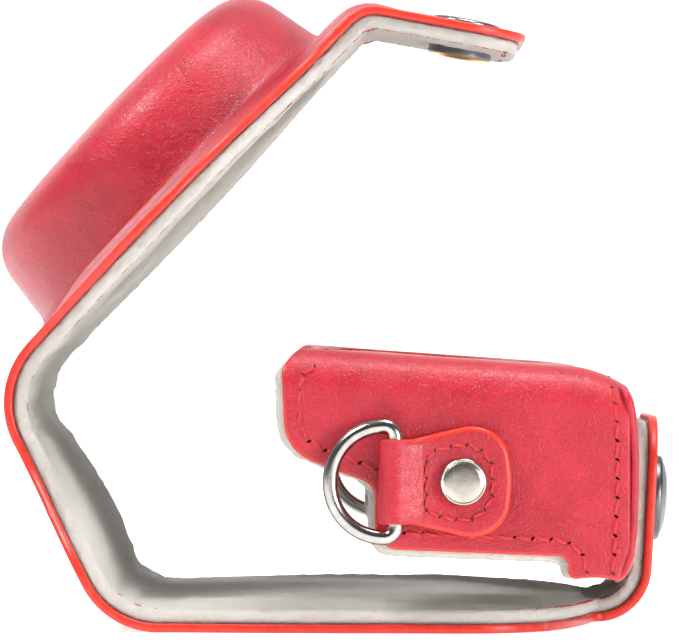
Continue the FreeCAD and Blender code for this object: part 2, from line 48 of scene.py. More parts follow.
AROUND = 144

# ---------------------------------------------------------------- dimensions, mm
LEATHER = 1.25
FLEECE = 1.9
FLEECE_INSET = 0.9
LEAN = 3.1
RUNS = (("tongue", 21.89), ("back", 61.94), ("top", 21.85), ("front", 64.3), ("flap", 21.2))
TURNS = ((90.0 - LEAN, 8.0), (62.5, 12.0), (71.3, 12.5), (56.4, 6.0))
FOLD_1_CORNER = 44.5
TONGUE_HALF = 20.0
BACK_HALF = 52.5
FOLD_2_HALF = 50.0
FOLD_3_HALF = 39.0
FRONT_HALF = 50.5
END_ROUNDING = 9.0
STITCH_INSET = 2.4
FOLD_LINE = 0.6
DOME_U = 31.3
DOME_R = 29.25
DOME_H = 16.4
DOME_SKIN = 1.2
DOME_FLEECE = 1.0
DOME_SWELL = 1.25
TAB_Z = 21.1
DISC_Z = 17.3
CATCH_U = 12.3
SCREW_Y = 31.0
SCREW_Z = 19.6


# ---------------------------------------------------------------- the cover's path
def build_path():
    """Runs and folds of the cover, each with its start, heading, length and turn."""
    lean = math.radians(LEAN)
    tangent = TURNS[0][1] * math.tan(math.radians(TURNS[0][0]) / 2)
    reach = RUNS[0][1] + tangent
    x = FOLD_1_CORNER + reach * math.sin(lean)
    z = reach * math.cos(lean)
    angle = math.radians(-90.0 - LEAN)
    parts = []
    s = 0.0
    for i, (name, length) in enumerate(RUNS):
        parts.append((name, s, s + length, x, z, angle, 0.0))
        x += length * math.cos(angle)
        z += length * math.sin(angle)
        s += length
        if i < len(TURNS):
            turn, radius = math.radians(TURNS[i][0]), TURNS[i][1]
            parts.append((f"fold_{i + 1}", s, s + radius * turn, x, z, angle, radius))
            cx = x + radius * math.sin(angle)
            cz = z - radius * math.cos(angle)
            angle -= turn
            x = cx - radius * math.sin(angle)
            z = cz + radius * math.cos(angle)
            s += radius * turn
    return parts


PATH = build_path()
START = {p[0]: p[1] for p in PATH}
END = {p[0]: p[2] for p in PATH}


def on_cover(s, y, w):
    """Point of the cover at length s, width y and depth w below the outer leather face."""
    s = np.asarray(s, float)
    x = np.zeros_like(s)
    z = np.zeros_like(s)
    for i, (_, s0, s1, px, pz, angle, radius) in enumerate(PATH):
        low = -1e9 if i == 0 else s0
        high = 1e9 if i == len(PATH) - 1 else s1
        here = (s >= low) & (s < high)
        d = s - s0
        if radius == 0:
            hx, hz = math.cos(angle), math.sin(angle)
            ax = px + d * hx + w * hz
            az = pz + d * hz - w * hx
        else:
            cx = px + radius * math.sin(angle)
            cz = pz - radius * math.cos(angle)
            a = angle - d / radius
            ax = cx - (radius - w) * np.sin(a)
            az = cz + (radius - w) * np.cos(a)
        x = np.where(here, ax, x)
        z = np.where(here, az, z)
    return np.stack([x, np.broadcast_to(y, x.shape) * 1.0, z], -1)


def bezier_table(points, count=60):
    t = np.linspace(0, 1, count)[:, None]
    a, b, c, d = (np.array(q, float) for q in points)
    return (1 - t) ** 3 * a + 3 * t * (1 - t) ** 2 * b + 3 * t**2 * (1 - t) * c + t**3 * d


def rounded_end(s, way):
    """Half widths over the rounded corners of an end at length s."""
    angles = np.linspace(0, math.pi / 2, 12)
    if way < 0:
        angles = angles[::-1]
    r = END_ROUNDING
    return [(s + way * (r - r * math.cos(a)), TONGUE_HALF - r + r * math.sin(a)) for a in angles]


def width_table():
    """Half width of the cover's leather against length."""
    spans = (
        ("back", ((0, TONGUE_HALF), (1.5, TONGUE_HALF + 2), (3, BACK_HALF), (18.7, BACK_HALF))),
        ("back", ((18.7, BACK_HALF), (41.7, BACK_HALF), (48.7, FOLD_2_HALF), (61.94, FOLD_2_HALF))),
        ("top", ((0, FOLD_2_HALF), (8, FOLD_2_HALF), (13.85, FOLD_3_HALF), (21.85, FOLD_3_HALF))),
        ("front", ((0, FOLD_3_HALF), (8, FOLD_3_HALF + 3), (11, FRONT_HALF), (26, FRONT_HALF))),
        ("front", ((26, FRONT_HALF), (47, FRONT_HALF), (47, TONGUE_HALF), (64.3, TONGUE_HALF))),
    )
    rows = rounded_end(START["tongue"], 1)
    for run, points in spans:
        rows += [(START[run] + u, h) for u, h in bezier_table(points)]
    rows = np.array(rows + rounded_end(END["flap"], -1))
    keep = np.concatenate([[True], np.diff(rows[:, 0]) > 1e-6])
    return rows[keep]


WIDTHS = width_table()


def half_width(s):
    return np.interp(s, WIDTHS[:, 0], WIDTHS[:, 1])


# ---------------------------------------------------------------- mesh tools
def resample(points, step, closed=False):
    points = np.asarray(points, float)
    if closed:
        points = np.vstack([points, points[:1]])
    d = np.concatenate([[0], np.cumsum(np.linalg.norm(np.diff(points, axis=0), axis=1))])
    count = max(2, int(round(d[-1] / step)) + 1)
    t = np.linspace(0, d[-1], count)
    out = np.stack([np.interp(t, d, points[:, k]) for k in range(points.shape[1])], -1)
    return out[:-1] if closed else out


def ease(x):
    """Smooth step of x held between 0 and 1."""
    x = np.clip(x, 0, 1)
    return x * x * (3 - 2 * x)


def nearest(points, loop):
    """Distance from each point to the nearest point of a loop."""
    near = np.full(len(points), 1e9)
    for i in range(0, len(loop), 64):
        near = np.minimum(near, np.linalg.norm(points[:, None] - loop[None, i : i + 64], axis=2).min(1))
    return near


def clear_of(points, loops):
    """True for the points inside the first loop and outside the others."""
    keep = inside(points, loops[0])
    for hole in loops[1:]:
        keep &= ~inside(points, hole)
    return keep


def rounded(corners):
    """Dense closed outline through (a, b, radius) corners."""
    out = []
    n = len(corners)
    for i in range(n):
        a, b, c = (np.array(corners[j % n][:2], float) for j in (i - 1, i, i + 1))
        r = corners[i][2]
        into = (b - a) / np.linalg.norm(b - a)
        away = (c - b) / np.linalg.norm(c - b)
        turn = math.acos(max(-1, min(1, float(into @ away))))
        if r <= 0 or turn < 1e-3:
            out.append(b)
            continue
        back = r * math.tan(turn / 2)
        start = b - into * back
        left = np.array([-into[1], into[0]])
        side = 1.0 if into[0] * away[1] - into[1] * away[0] > 0 else -1.0
        centre = start + left * side * r
        for k in np.linspace(0, turn, max(3, int(turn * r / 0.6) + 2)):
            v = start - centre
            ca, sa = math.cos(k * side), math.sin(k * side)
            out.append(centre + np.array([v[0] * ca - v[1] * sa, v[0] * sa + v[1] * ca]))
    return np.array(out)


def inside(points, loop):
    x, y = points[:, 0][:, None], points[:, 1][:, None]
    a, b = loop, np.roll(loop, -1, axis=0)
    crosses = (a[:, 1] > y) != (b[:, 1] > y)
    dy = np.where(b[:, 1] == a[:, 1], 1e-12, b[:, 1] - a[:, 1])
    at = (b[:, 0] - a[:, 0]) * (y - a[:, 1]) / dy + a[:, 0]
    return (np.sum(crosses & (x < at), axis=1) % 2) == 1


def area_sign(loop):
    a, b = loop, np.roll(loop, -1, axis=0)
    return np.sign(np.sum(a[:, 0] * b[:, 1] - b[:, 0] * a[:, 1]))


def outward_normals(loop):
    """Unit vectors out of the material for a loop that runs counter-clockwise."""
    d = np.roll(loop, -1, axis=0) - np.roll(loop, 1, axis=0)
    n = np.stack([d[:, 1], -d[:, 0]], -1)
    return n / np.maximum(np.linalg.norm(n, axis=1)[:, None], 1e-9)


def smooth_noise(points, scale, seed):
    """Sum of a few sine waves: a cheap smooth field in [-1, 1]."""
    rng = np.random.default_rng(seed)
    total = np.zeros(len(points))
    for _ in range(7):
        k = rng.normal(size=points.shape[1])
        k *= rng.uniform(0.6, 1.6) / (np.linalg.norm(k) * scale)
        total += np.sin(points @ k * 2 * math.pi + rng.uniform(0, 6.28))
    return total / 7


def make_object(name, verts, faces, material, attributes=(), sharp=52.0):
    mesh = bpy.data.meshes.new(name)
    mesh.from_pydata([tuple(v) for v in np.asarray(verts) * MM], [], [tuple(f) for f in faces])
    mesh.validate()
    for key, kind, values in attributes:
        attribute = mesh.attributes.new(key, kind, "POINT")
        field = "vector" if kind == "FLOAT_VECTOR" else "value"
        attribute.data.foreach_set(field, np.asarray(values, np.float32).ravel())
    mesh.polygons.foreach_set("use_smooth", [True] * len(mesh.polygons))
    mesh.set_sharp_from_angle(angle=math.radians(sharp))
    mesh.materials.append(material)
    obj = bpy.data.objects.new(name, mesh)
    bpy.context.scene.collection.objects.link(obj)
    return obj


def attach(obj, where, slot, *replaced):
    """Put a piece on its body, or bake a piece that spans a fold into world space, and hide the CAD parts
    that it replaces.
    """
    if isinstance(where, str):
        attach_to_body(obj, where)
    else:
        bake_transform(obj)
    if replaced:
        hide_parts(*replaced)


def sheet_solid(
    name, outline, cuts, holes, place, low, high, material,
    step=1.3, edge=0.35, wave=0.0, fuzz=0.0, seed=1, shape=None,
):
    """Sheet with soft rounded edges: a flat outline, with holes, carried into space by place(a, b, depth).
    cuts(points) gives, for border points, how much of each inset direction is kept, so that two
    pieces that continue one another meet without a rounded gap. step is the mesh size, edge the
    rounding, wave and fuzz the size of broad and fine unevenness, and shape a further depth."""
    loops = [np.asarray(outline, float)] + [np.asarray(h, float) for h in holes]
    if area_sign(loops[0]) < 0:
        loops[0] = loops[0][::-1]
    for i in range(1, len(loops)):
        if area_sign(loops[i]) > 0:
            loops[i] = loops[i][::-1]
    insets = []
    for loop in loops:
        n = outward_normals(loop)
        insets.append(n if cuts is None else n * cuts(loop))
    inner = [l - n * edge for l, n in zip(loops, insets)]
    flat = np.vstack(inner)
    edges = []
    base = 0
    for loop in loops:
        m = len(loop)
        edges += [(base + i, base + (i + 1) % m) for i in range(m)]
        base += m
    lo, hi = inner[0].min(0), inner[0].max(0)
    gx = np.arange(lo[0] + step / 2, hi[0], step)
    gy = np.arange(lo[1] + step / 2, hi[1], step)
    grid = np.stack(np.meshgrid(gx, gy, indexing="ij"), -1).reshape(-1, 2)
    grid[:, 1] += np.where((np.round((grid[:, 0] - lo[0]) / step) % 2) == 0, step / 4, -step / 4)
    grid = grid[clear_of(grid, inner)]
    grid = grid[np.min([nearest(grid, loop) for loop in inner], axis=0) > 0.55 * step]
    points = np.vstack([flat, grid])
    result = geometry.delaunay_2d_cdt([Vector(p) for p in points], edges, [], 0, 1e-6)
    out_points = np.array([tuple(v) for v in result[0]])
    tris = np.array([f for f in result[2] if len(f) == 3])
    tris = tris[clear_of(out_points[tris].mean(1), inner)]
    source = {o: i for i, list_ in enumerate(result[3]) for o in list_}
    lookup = np.array([source[i] for i in range(len(flat))])
    d = out_points[tris]
    p, q = d[:, 1] - d[:, 0], d[:, 2] - d[:, 0]
    turned = p[:, 0] * q[:, 1] - p[:, 1] * q[:, 0] < 0
    tris[turned] = tris[turned][:, ::-1]
    n = len(out_points)
    thick = high - low
    r = min(edge, thick / 2 - 0.05)
    flats = [np.column_stack([out_points, np.full(n, low)])]
    flats.append(np.column_stack([out_points, np.full(n, high)]))
    faces = [list(t) for t in tris] + [[n + i for i in t[::-1]] for t in tris]
    is_edge = [np.zeros(n), np.zeros(n)]
    count = 2 * n
    angles = np.radians([22, 48, 74])
    rings = [(edge * (1 - math.sin(a)), low + r * (1 - math.cos(a))) for a in angles]
    rings += [(0.0, low + thick * 0.5)]
    rings += [(edge * (1 - math.sin(a)), high - r * (1 - math.cos(a))) for a in angles[::-1]]
    start = 0
    tuft = np.random.default_rng(seed + 5)
    for loop, normal in zip(loops, insets):
        m = len(loop)
        first = lookup[start : start + m]
        previous = list(first)
        for back, depth in rings:
            pull = tuft.normal(0.0, 0.09, m) if fuzz else np.zeros(m)
            rim = loop - normal * (back + pull)[:, None]
            flats.append(np.column_stack([rim, np.full(m, depth)]))
            is_edge.append(np.ones(m))
            here = list(range(count, count + m))
            count += m
            for i in range(m):
                j = (i + 1) % m
                faces.append([previous[j], previous[i], here[i], here[j]])
            previous = here
        for i in range(m):
            j = (i + 1) % m
            faces.append([previous[j], previous[i], n + first[i], n + first[j]])
        start += m
    flats = np.vstack(flats)
    is_edge = np.concatenate(is_edge)
    depth = flats[:, 2].copy()
    if wave:
        depth = depth + wave * smooth_noise(flats[:, :2], 22.0, seed)
    if fuzz:
        lump = smooth_noise(flats, 2.3, seed + 1) + 0.6 * smooth_noise(flats, 1.1, seed + 2)
        side = np.where(flats[:, 2] > (low + high) / 2, 1.0, 0.0)
        depth = depth + fuzz * lump * side
    if shape is not None:
        depth = depth + shape(flats, low, high)
    free = [loop if cuts is None else loop[np.abs(cuts(loop)).sum(1) > 0] for loop in loops]
    border = np.min([nearest(flats[:, :2], loop) for loop in free], axis=0)
    verts = place(flats[:, 0], flats[:, 1], depth)
    attributes = (("flat", "FLOAT_VECTOR", flats), ("edge", "FLOAT", is_edge), ("border", "FLOAT", border))
    return make_object(name, verts, faces, material, attributes)


# ---------------------------------------------------------------- materials
class Graph:
    """A new material's node tree, with short calls for the nodes that this scene uses."""

    def __init__(self, tree):
        self.nodes = tree.nodes
        self.links = tree.links

    def add(self, kind, **values):
        node = self.nodes.new(kind)
        for key, value in values.items():
            if key.startswith("in_"):
                node.inputs[key[3:].replace("_", " ")].default_value = value
            else:
                setattr(node, key, value)
        return node

    def link(self, output, target):
        self.links.new(output, target)

    def feed(self, socket, value):
        if hasattr(value, "links"):
            self.links.new(value, socket)
        elif isinstance(value, tuple):
            socket.default_value = (*value, 1)
        else:
            socket.default_value = value

    def ramp(self, stops, factor):
        node = self.nodes.new("ShaderNodeValToRGB")
        elements = node.color_ramp.elements
        while len(elements) > 1:
            elements.remove(elements[-1])
        elements[0].position = stops[0][0]
        elements[0].color = (*stops[0][1], 1)
        for position, colour in stops[1:]:
            elements.new(position).color = (*colour, 1)
        self.link(factor, node.inputs["Fac"])
        return node.outputs["Color"]

    def noise(self, vector, scale, detail=4.0, rough=0.55, distort=0.0):
        node = self.add("ShaderNodeTexNoise", in_Scale=scale, in_Detail=detail)
        node.inputs["Roughness"].default_value = rough
        node.inputs["Distortion"].default_value = distort
        self.link(vector, node.inputs["Vector"])
        return node.outputs["Fac"]

    def mix(self, factor, a, b):
        node = self.nodes.new("ShaderNodeMix")
        node.data_type = "RGBA"
        for socket, value in ((0, factor), (6, a), (7, b)):
            self.feed(node.inputs[socket], value)
        return node.outputs[2]

    def maths(self, operation, *values):
        node = self.nodes.new("ShaderNodeMath")
        node.operation = operation
        for socket, value in enumerate(values):
            self.feed(node.inputs[socket], value)
        return node.outputs[0]

    def times(self, a, b):
        return self.maths("MULTIPLY", a, b)

    def plus(self, a, b):
        return self.maths("ADD", a, b)

    def away(self, a, middle):
        """Distance of a value from a middle."""
        return self.maths("ABSOLUTE", self.maths("SUBTRACT", a, middle))

    def mark(self, name, output):
        return self.add("ShaderNodeAttribute", attribute_name=name).outputs[output]

    def place_mm(self):
        """Object coordinates in millimetres."""
        coord = self.nodes.new("ShaderNodeTexCoord")
        scale = self.add("ShaderNodeVectorMath", operation="SCALE", in_Scale=1000.0)
        self.link(coord.outputs["Object"], scale.inputs[0])
        return scale.outputs["Vector"]

    def finish(self, colour, rough, height, strength, distance, **sockets):
        """Colour, roughness and bump, and the values that are the same all over."""
        shader = self.nodes["Principled BSDF"]
        self.feed(shader.inputs["Base Color"], colour)
        self.feed(shader.inputs["Roughness"], rough)
        for key, value in sockets.items():
            shader.inputs[key.replace("_", " ")].default_value = value
        node = self.add("ShaderNodeBump", in_Strength=strength, in_Distance=distance)
        self.link(height, node.inputs["Height"])
        self.link(node.outputs["Normal"], shader.inputs["Normal"])


def new_material(name):
    material = bpy.data.materials.new(name)
    material.use_nodes = True
    return material, Graph(material.node_tree)


LEATHER_TONES = ((0.34, (0.32, 0.007, 0.017)), (0.5, (0.40, 0.011, 0.026)), (0.66, (0.47, 0.017, 0.036)))
PAINT_TONES = ((0.3, (0.46, 0.018, 0.010)), (0.7, (0.57, 0.033, 0.018)))
FLEECE_TONES = ((0.32, (0.66, 0.59, 0.48)), (0.46, (0.94, 0.89, 0.79)), (0.66, (0.99, 0.965, 0.89)))
FLEECE_WORN = (0.82, 0.75, 0.64)
THREAD_TONES = ((0.2, (0.34, 0.006, 0.009)), (0.8, (0.62, 0.020, 0.020)))


def leather_material(name, groove=0.0):
    """Smooth waxed leather: mottled red, fine pebbled grain, faint creases, painted edges, and painted shade
    in the crease and grain valleys.
    groove is the distance of the stitched groove from the edge, or 0 for none; the groove is painted darker
    as shade."""
    material, g = new_material(name)
    vector = g.mark("flat", "Vector")
    broad = g.noise(vector, 0.05, 3.0, 0.55, 0.3)
    patch = g.noise(vector, 0.22, 4.0, 0.6, 0.3)
    fine = g.noise(vector, 1.5, 3.0, 0.6)
    colours = g.ramp(LEATHER_TONES, g.plus(g.times(broad, 0.6), g.times(patch, 0.4)))
    shift = g.add("ShaderNodeTexNoise", in_Scale=0.8, in_Detail=2.0)
    g.link(vector, shift.inputs["Vector"])
    warp = g.add("ShaderNodeVectorMath", operation="ADD")
    g.link(vector, warp.inputs[0])
    g.link(shift.outputs["Color"], warp.inputs[1])
    cells = g.add("ShaderNodeTexVoronoi", feature="DISTANCE_TO_EDGE", in_Scale=1.7)
    g.link(warp.outputs["Vector"], cells.inputs["Vector"])
    grain = g.add("ShaderNodeMapRange", in_From_Max=0.16)
    g.link(cells.outputs["Distance"], grain.inputs["Value"])
    pebble = grain.outputs["Result"]
    valley = g.away(g.noise(vector, 0.42, 4.0, 0.62, 0.4), 0.5)
    wrinkle = g.maths("MINIMUM", g.times(valley, 22.0), 1.0)
    # painted shade: the colour is darkened along the crease valleys and between the grain's pebbles, where
    # the bump is low
    painted_shade = g.plus(g.plus(g.times(wrinkle, 0.08), 0.86), g.times(pebble, 0.05))
    height = g.plus(g.times(pebble, 0.34), g.times(wrinkle, 0.42))
    height = g.plus(g.plus(height, g.times(fine, 0.35)), g.times(patch, 0.6))
    if groove:
        off = g.away(g.mark("border", "Fac"), groove)
        dip = g.maths("MINIMUM", g.times(off, 1.5), 1.0)
        height = g.plus(height, g.times(dip, 1.6))
        # painted shade: the colour is darkened in the stitched groove
        painted_shade = g.times(painted_shade, g.plus(g.times(dip, 0.16), 0.84))
    tint = g.add("ShaderNodeVectorMath", operation="SCALE")
    g.link(colours, tint.inputs[0])
    g.link(painted_shade, tint.inputs["Scale"])
    lip = g.maths("GREATER_THAN", g.mark("edge", "Fac"), 0.35)
    paint = g.ramp(PAINT_TONES, g.noise(vector, 0.6, 3.0))
    g.finish(
        g.mix(lip, tint.outputs["Vector"], paint), g.plus(g.times(patch, 0.30), 0.22),
        g.times(height, g.maths("SUBTRACT", 1.0, g.times(lip, 0.8))), 0.5, 0.00017,
        Specular_IOR_Level=0.36, Coat_Weight=0.14, Coat_Roughness=0.3,
    )
    return material


def fleece_material(name):
    """Brushed cream fleece: soft clumps and fine fibres, with painted shade darkening the hollows of its
    bump.
    """
    material, g = new_material(name)
    vector = g.mark("flat", "Vector")
    clump = g.noise(vector, 0.55, 5.0, 0.7, 0.6)
    fibre = g.noise(vector, 2.6, 7.0, 0.8, 2.2)
    worn = g.times(g.noise(vector, 0.07, 3.0), 0.2)
    # the tones follow the same clump and fibre noise as the bump, so the low spots get painted shade on top
    # of the fleece's own speckle
    tones = g.ramp(FLEECE_TONES, g.plus(g.times(clump, 0.5), g.times(fibre, 0.5)))
    g.finish(
        g.mix(worn, tones, FLEECE_WORN), 0.96, g.plus(g.times(clump, 1.5), fibre), 1.0, 0.0008,
        Specular_IOR_Level=0.15, Sheen_Weight=0.9, Sheen_Roughness=0.6,
    )
    return material


def metal_material(name, colour, rough):
    material, g = new_material(name)
    vector = g.place_mm()
    smudge = g.noise(vector, 0.5, 4.0, 0.6)
    fine = g.noise(vector, 6.0, 3.0, 0.7, 1.0)
    tones = g.ramp(((0.3, tuple(c * 0.72 for c in colour)), (0.7, colour)), smudge)
    g.finish(tones, g.plus(g.times(fine, 0.12), rough), fine, 0.12, 0.0001, Metallic=1.0)
    return material


def thread_material(name):
    material, g = new_material(name)
    twist = g.add(
        "ShaderNodeTexWave", wave_type="BANDS", bands_direction="DIAGONAL", in_Scale=1.6, in_Distortion=1.0
    )
    g.link(g.place_mm(), twist.inputs["Vector"])
    g.finish(g.ramp(THREAD_TONES, twist.outputs["Fac"]), 0.48, twist.outputs["Fac"], 0.6, 0.0001)
    return material


def dark_material(name, colour, rough=0.9):
    material, g = new_material(name)
    speck = g.noise(g.place_mm(), 2.5, 4.0, 0.7)
    tones = ((0.3, tuple(c * 0.5 for c in colour)), (0.7, tuple(c * 1.6 for c in colour)))
    g.finish(g.ramp(tones, speck), rough, speck, 0.4, 0.0002)
    return material


LEATHER_LOOK = leather_material("leather")
COVER_LOOK = leather_material("cover leather", 2.4)
FLEECE_LOOK = fleece_material("fleece")
THREAD_LOOK = thread_material("thread")
# near-black discs at the stitch holes are painted shade for the holes' recess
HOLE_SHADE_LOOK = dark_material("stitch hole shade", (0.085, 0.006, 0.010))
STEEL_LOOK = metal_material("ring steel", (0.46, 0.45, 0.43), 0.12)
SCREW_LOOK = metal_material("screw steel", (0.27, 0.27, 0.28), 0.30)
CAP_LOOK = metal_material("flap cap steel", (0.30, 0.31, 0.34), 0.16)
NICKEL_LOOK = metal_material("satin nickel", (0.50, 0.46, 0.40), 0.20)
DARK_METAL_LOOK = metal_material("dark metal", (0.16, 0.16, 0.17), 0.28)
BRASS_LOOK = metal_material("brass", (0.78, 0.58, 0.30), 0.25)


# ---------------------------------------------------------------- the cover
SPLITS = (
    START["tongue"],
    START["back"] + 8.0,
    START["top"] + 11.0,
    END["front"] - 2.2,
    END["flap"],
)
FOLD_BODIES = (
    ("half_case", "back_panel"),
    ("back_panel", "top_panel"),
    ("top_panel", "front_panel"),
    ("front_panel", "flap"),
)


def cover_outline(s0, s1, inset, first, last):
    """Outline of the cover between two lengths. Free ends keep the inset, cut ends don't."""
    a = s0 + (inset if first else 0.0)
    b = s1 - (inset if last else 0.0)
    s = resample(np.array([[a], [b]]), 0.7)[:, 0]
    if first:
        s = np.unique(np.concatenate([s, a + 9 * (1 - np.cos(np.linspace(0, 1.55, 14)))]))
    if last:
        s = np.unique(np.concatenate([s, b - 9 * (1 - np.cos(np.linspace(0, 1.55, 14)))]))
    s = s[np.concatenate([[True], np.diff(s) > 0.05])]
    s[-1] = b
    from_start = np.clip(1 - (s - a) / 12.0, 0, 1) * first
    from_end = np.clip(1 - (b - s) / 12.0, 0, 1) * last
    h = half_width(s - inset * from_start + inset * from_end) - inset
    side = np.column_stack([s, h])
    other = np.column_stack([s, -h])
    start = resample(np.array([[s[0], h[0]], [s[0], -h[0]]]), 1.2)[1:-1]
    end = resample(np.array([[s[-1], -h[-1]], [s[-1], h[-1]]]), 1.2)[1:-1]
    return np.vstack([side[::-1], start, other, end])


def cover_cuts(s0, s1, first, last):
    def keep(loop):
        out = np.ones((len(loop), 2))
        if not first:
            out[np.abs(loop[:, 0] - s0) < 0.02] = (0, 0)
        if not last:
            out[np.abs(loop[:, 0] - s1) < 0.02] = (0, 0)
        return out

    return keep


def circle(u, r, count=150):
    a = np.linspace(0, 2 * math.pi, count, endpoint=False)
    return np.column_stack([u + r * np.cos(a), r * np.sin(a)])


def across_fold(i):
    """Bodies on both sides of a fold, with the fold's two ends in metres."""
    s = np.array([START[f"fold_{i + 1}"], END[f"fold_{i + 1}"]])
    p = on_cover(s, 0.0, np.full(2, FOLD_LINE)) * MM
    return (*FOLD_BODIES[i], tuple(p[0]), tuple(p[1]))


def puff(flats, low, high):
    """The lining stands off its leather between the folds and gathers in ridges beside them."""
    s, y, w = flats[:, 0], flats[:, 1], flats[:, 2]
    inner = np.clip((w - low) / (high - low), 0, 1)
    across = ease((half_width(s) - np.abs(y)) / 9.0)
    out = np.zeros(len(s))
    bays = (
        (START["back"] + 6, END["back"] + 1, 0.9), (START["top"] - 4, END["top"] + 3, 1.9),
        (START["front"] + 1, START["front"] + 5, 0.3),
    )
    for a, b, high_mid in bays:
        t = np.clip((s - a) / (b - a), 0, 1)
        out += high_mid * np.sin(math.pi * t) ** 0.8 * across
    for name, size in (("fold_2", 0.55), ("fold_3", 0.6)):
        middle = (START[name] + END[name]) / 2
        reach = (END[name] - START[name]) / 2 + 7.0
        near = np.clip(1 - np.abs(s - middle) / reach, 0, 1)
        slant = s + 0.09 * y + 1.6 * np.sin(y / 9.0) + 0.8 * np.sin(y / 3.7 + 1.0)
        ridge = 0.5 + 0.5 * np.sin(slant * 2 * math.pi / 5.2)
        out += size * near * ridge * (0.35 + 0.65 * across)
    field = np.column_stack([s, y])
    out += 0.22 * smooth_noise(field, 13.0, 41) * across
    return out * inner


def swell(flats, low, high):
    """The outer leather stands up from its stitched edge, most of all round the dome."""
    s, y, w = flats[:, 0], flats[:, 1], flats[:, 2]
    outer = np.clip((high - w) / (high - low), 0, 1)
    across = ease((half_width(s) - np.abs(y) - 0.3) / 5.5)
    front = ease((s - START["front"] - 2) / 12.0) * ease((END["fold_4"] + 6 - s) / 14.0)
    return -outer * across * (0.05 + DOME_SWELL * front)


def build_cover():
    """Leather and fleece of the cover, each in four pieces that meet between the folds."""
    nodes = (
        ("tongue_{0}", "fold_1_{0}"),
        ("back_{0}", "fold_2_{0}"),
        ("top_{0}", "fold_3_{0}"),
        ("front_{0}", "fold_4_{0}", "flap_{0}"),
    )
    layers = (
        ("leather", 0.0, LEATHER, 0.0, COVER_LOOK, 1.3, 0.35, 0.0, swell, DOME_SKIN),
        ("lining", LEATHER, LEATHER + FLEECE, FLEECE_INSET, FLEECE_LOOK,
         0.9, 0.75, 0.16, puff, DOME_SKIN + DOME_FLEECE),
    )
    for kind, low, high, inset, look, step, edge, fuzz, shape, wall in layers:
        for i in range(4):
            s0, s1 = SPLITS[i], SPLITS[i + 1]
            first, last = i == 0, i == 3
            outline = cover_outline(s0, s1, inset, first, last)
            holes = [circle(START["front"] + DOME_U, DOME_R - wall)] if i == 2 else []
            obj = sheet_solid(
                f"cover_{kind}_{i + 1}", outline, cover_cuts(s0, s1, first, last), holes, on_cover,
                low, high, look, step, edge, 0.06, fuzz, 11, shape,
            )
            if kind == "lining":
                build_fuzz(f"cover_fuzz_{i + 1}", obj, 1.1, 0.75, across_fold(i), 60 + i)
            slot = "cover_leather" if kind == "leather" else "cover_fleece"
            attach(obj, across_fold(i), slot, *(n.format(kind) for n in nodes[i]))


def build_fuzz(name, source, share, length, where, seed):
    """Loose fibres standing off a fleece piece, each a thin closed needle."""
    rng = np.random.default_rng(seed)
    mesh = source.data
    count = len(mesh.vertices)
    verts = np.zeros(count * 3, np.float32)
    normals = np.zeros(count * 3, np.float32)
    marks = np.zeros(count, np.float32)
    mesh.vertices.foreach_get("co", verts)
    mesh.vertex_normals.foreach_get("vector", normals)
    mesh.attributes["edge"].data.foreach_get("value", marks)
    verts = verts.reshape(-1, 3) * 1000.0
    normals = normals.reshape(-1, 3)
    rim = np.flatnonzero(marks > 0.5)
    pick = rng.choice(rim, int(len(rim) * share))
    points, faces = [], []
    for i in pick:
        way = normals[i] + rng.normal(0.0, 0.55, 3)
        way /= np.linalg.norm(way)
        side = np.cross(way, rng.normal(0.0, 1.0, 3))
        side /= np.linalg.norm(side)
        other = np.cross(way, side)
        root = verts[i] + rng.normal(0.0, 0.3, 3) - normals[i] * 0.25
        long = length * rng.uniform(0.5, 1.2)
        base = len(points)
        for turn in (0.0, 2.094, 4.189):
            points.append(root + 0.035 * (side * math.cos(turn) + other * math.sin(turn)))
        points.append(root + way * long + rng.normal(0.0, 0.08, 3))
        faces += [[base + k for k in f] for f in ((2, 1, 0), (0, 1, 3), (1, 2, 3), (2, 0, 3))]
    flat = ("flat", "FLOAT_VECTOR", np.array(points))
    obj = make_object(name, points, faces, FLEECE_LOOK, (flat,))
    attach(obj, where, "cover_fleece")


def lathe(profile, count=AROUND):
    """Closed solid of revolution from a closed profile of (radius, height)."""
    profile = np.asarray(profile, float)
    a = np.linspace(0, 2 * math.pi, count, endpoint=False)
    m = len(profile)
    r, z = profile[:, 0][:, None], np.repeat(profile[:, 1][:, None], count, 1)
    points = np.stack([r * np.cos(a), r * np.sin(a), z], -1).reshape(-1, 3)
    faces = []
    for i in range(m):
        j = (i + 1) % m
        for k in range(count):
            n = (k + 1) % count
            faces.append([i * count + k, i * count + n, j * count + n, j * count + k])
    return points, faces


def dome_profile(base, height, fillet):
    """Half outline of the dome from its base to the middle of its crown."""
    slope = math.tan(math.radians(9.0))
    rise = height - 0.8
    top = base - rise * slope
    line = rounded([(0.02, -20, 0), (base + 20 * slope, -20, 0), (top, rise, fillet), (0.02, height, 0)])
    line = line[line[:, 1] > 0.0]
    line = np.vstack([[base, 0.0], line])
    return resample(line, 0.9)


def dome_frame(points):
    """Carry points from the dome's own frame (axis outward) to the front panel."""
    s = START["front"] + DOME_U
    return on_cover(s + points[:, 0], points[:, 1], -points[:, 2])


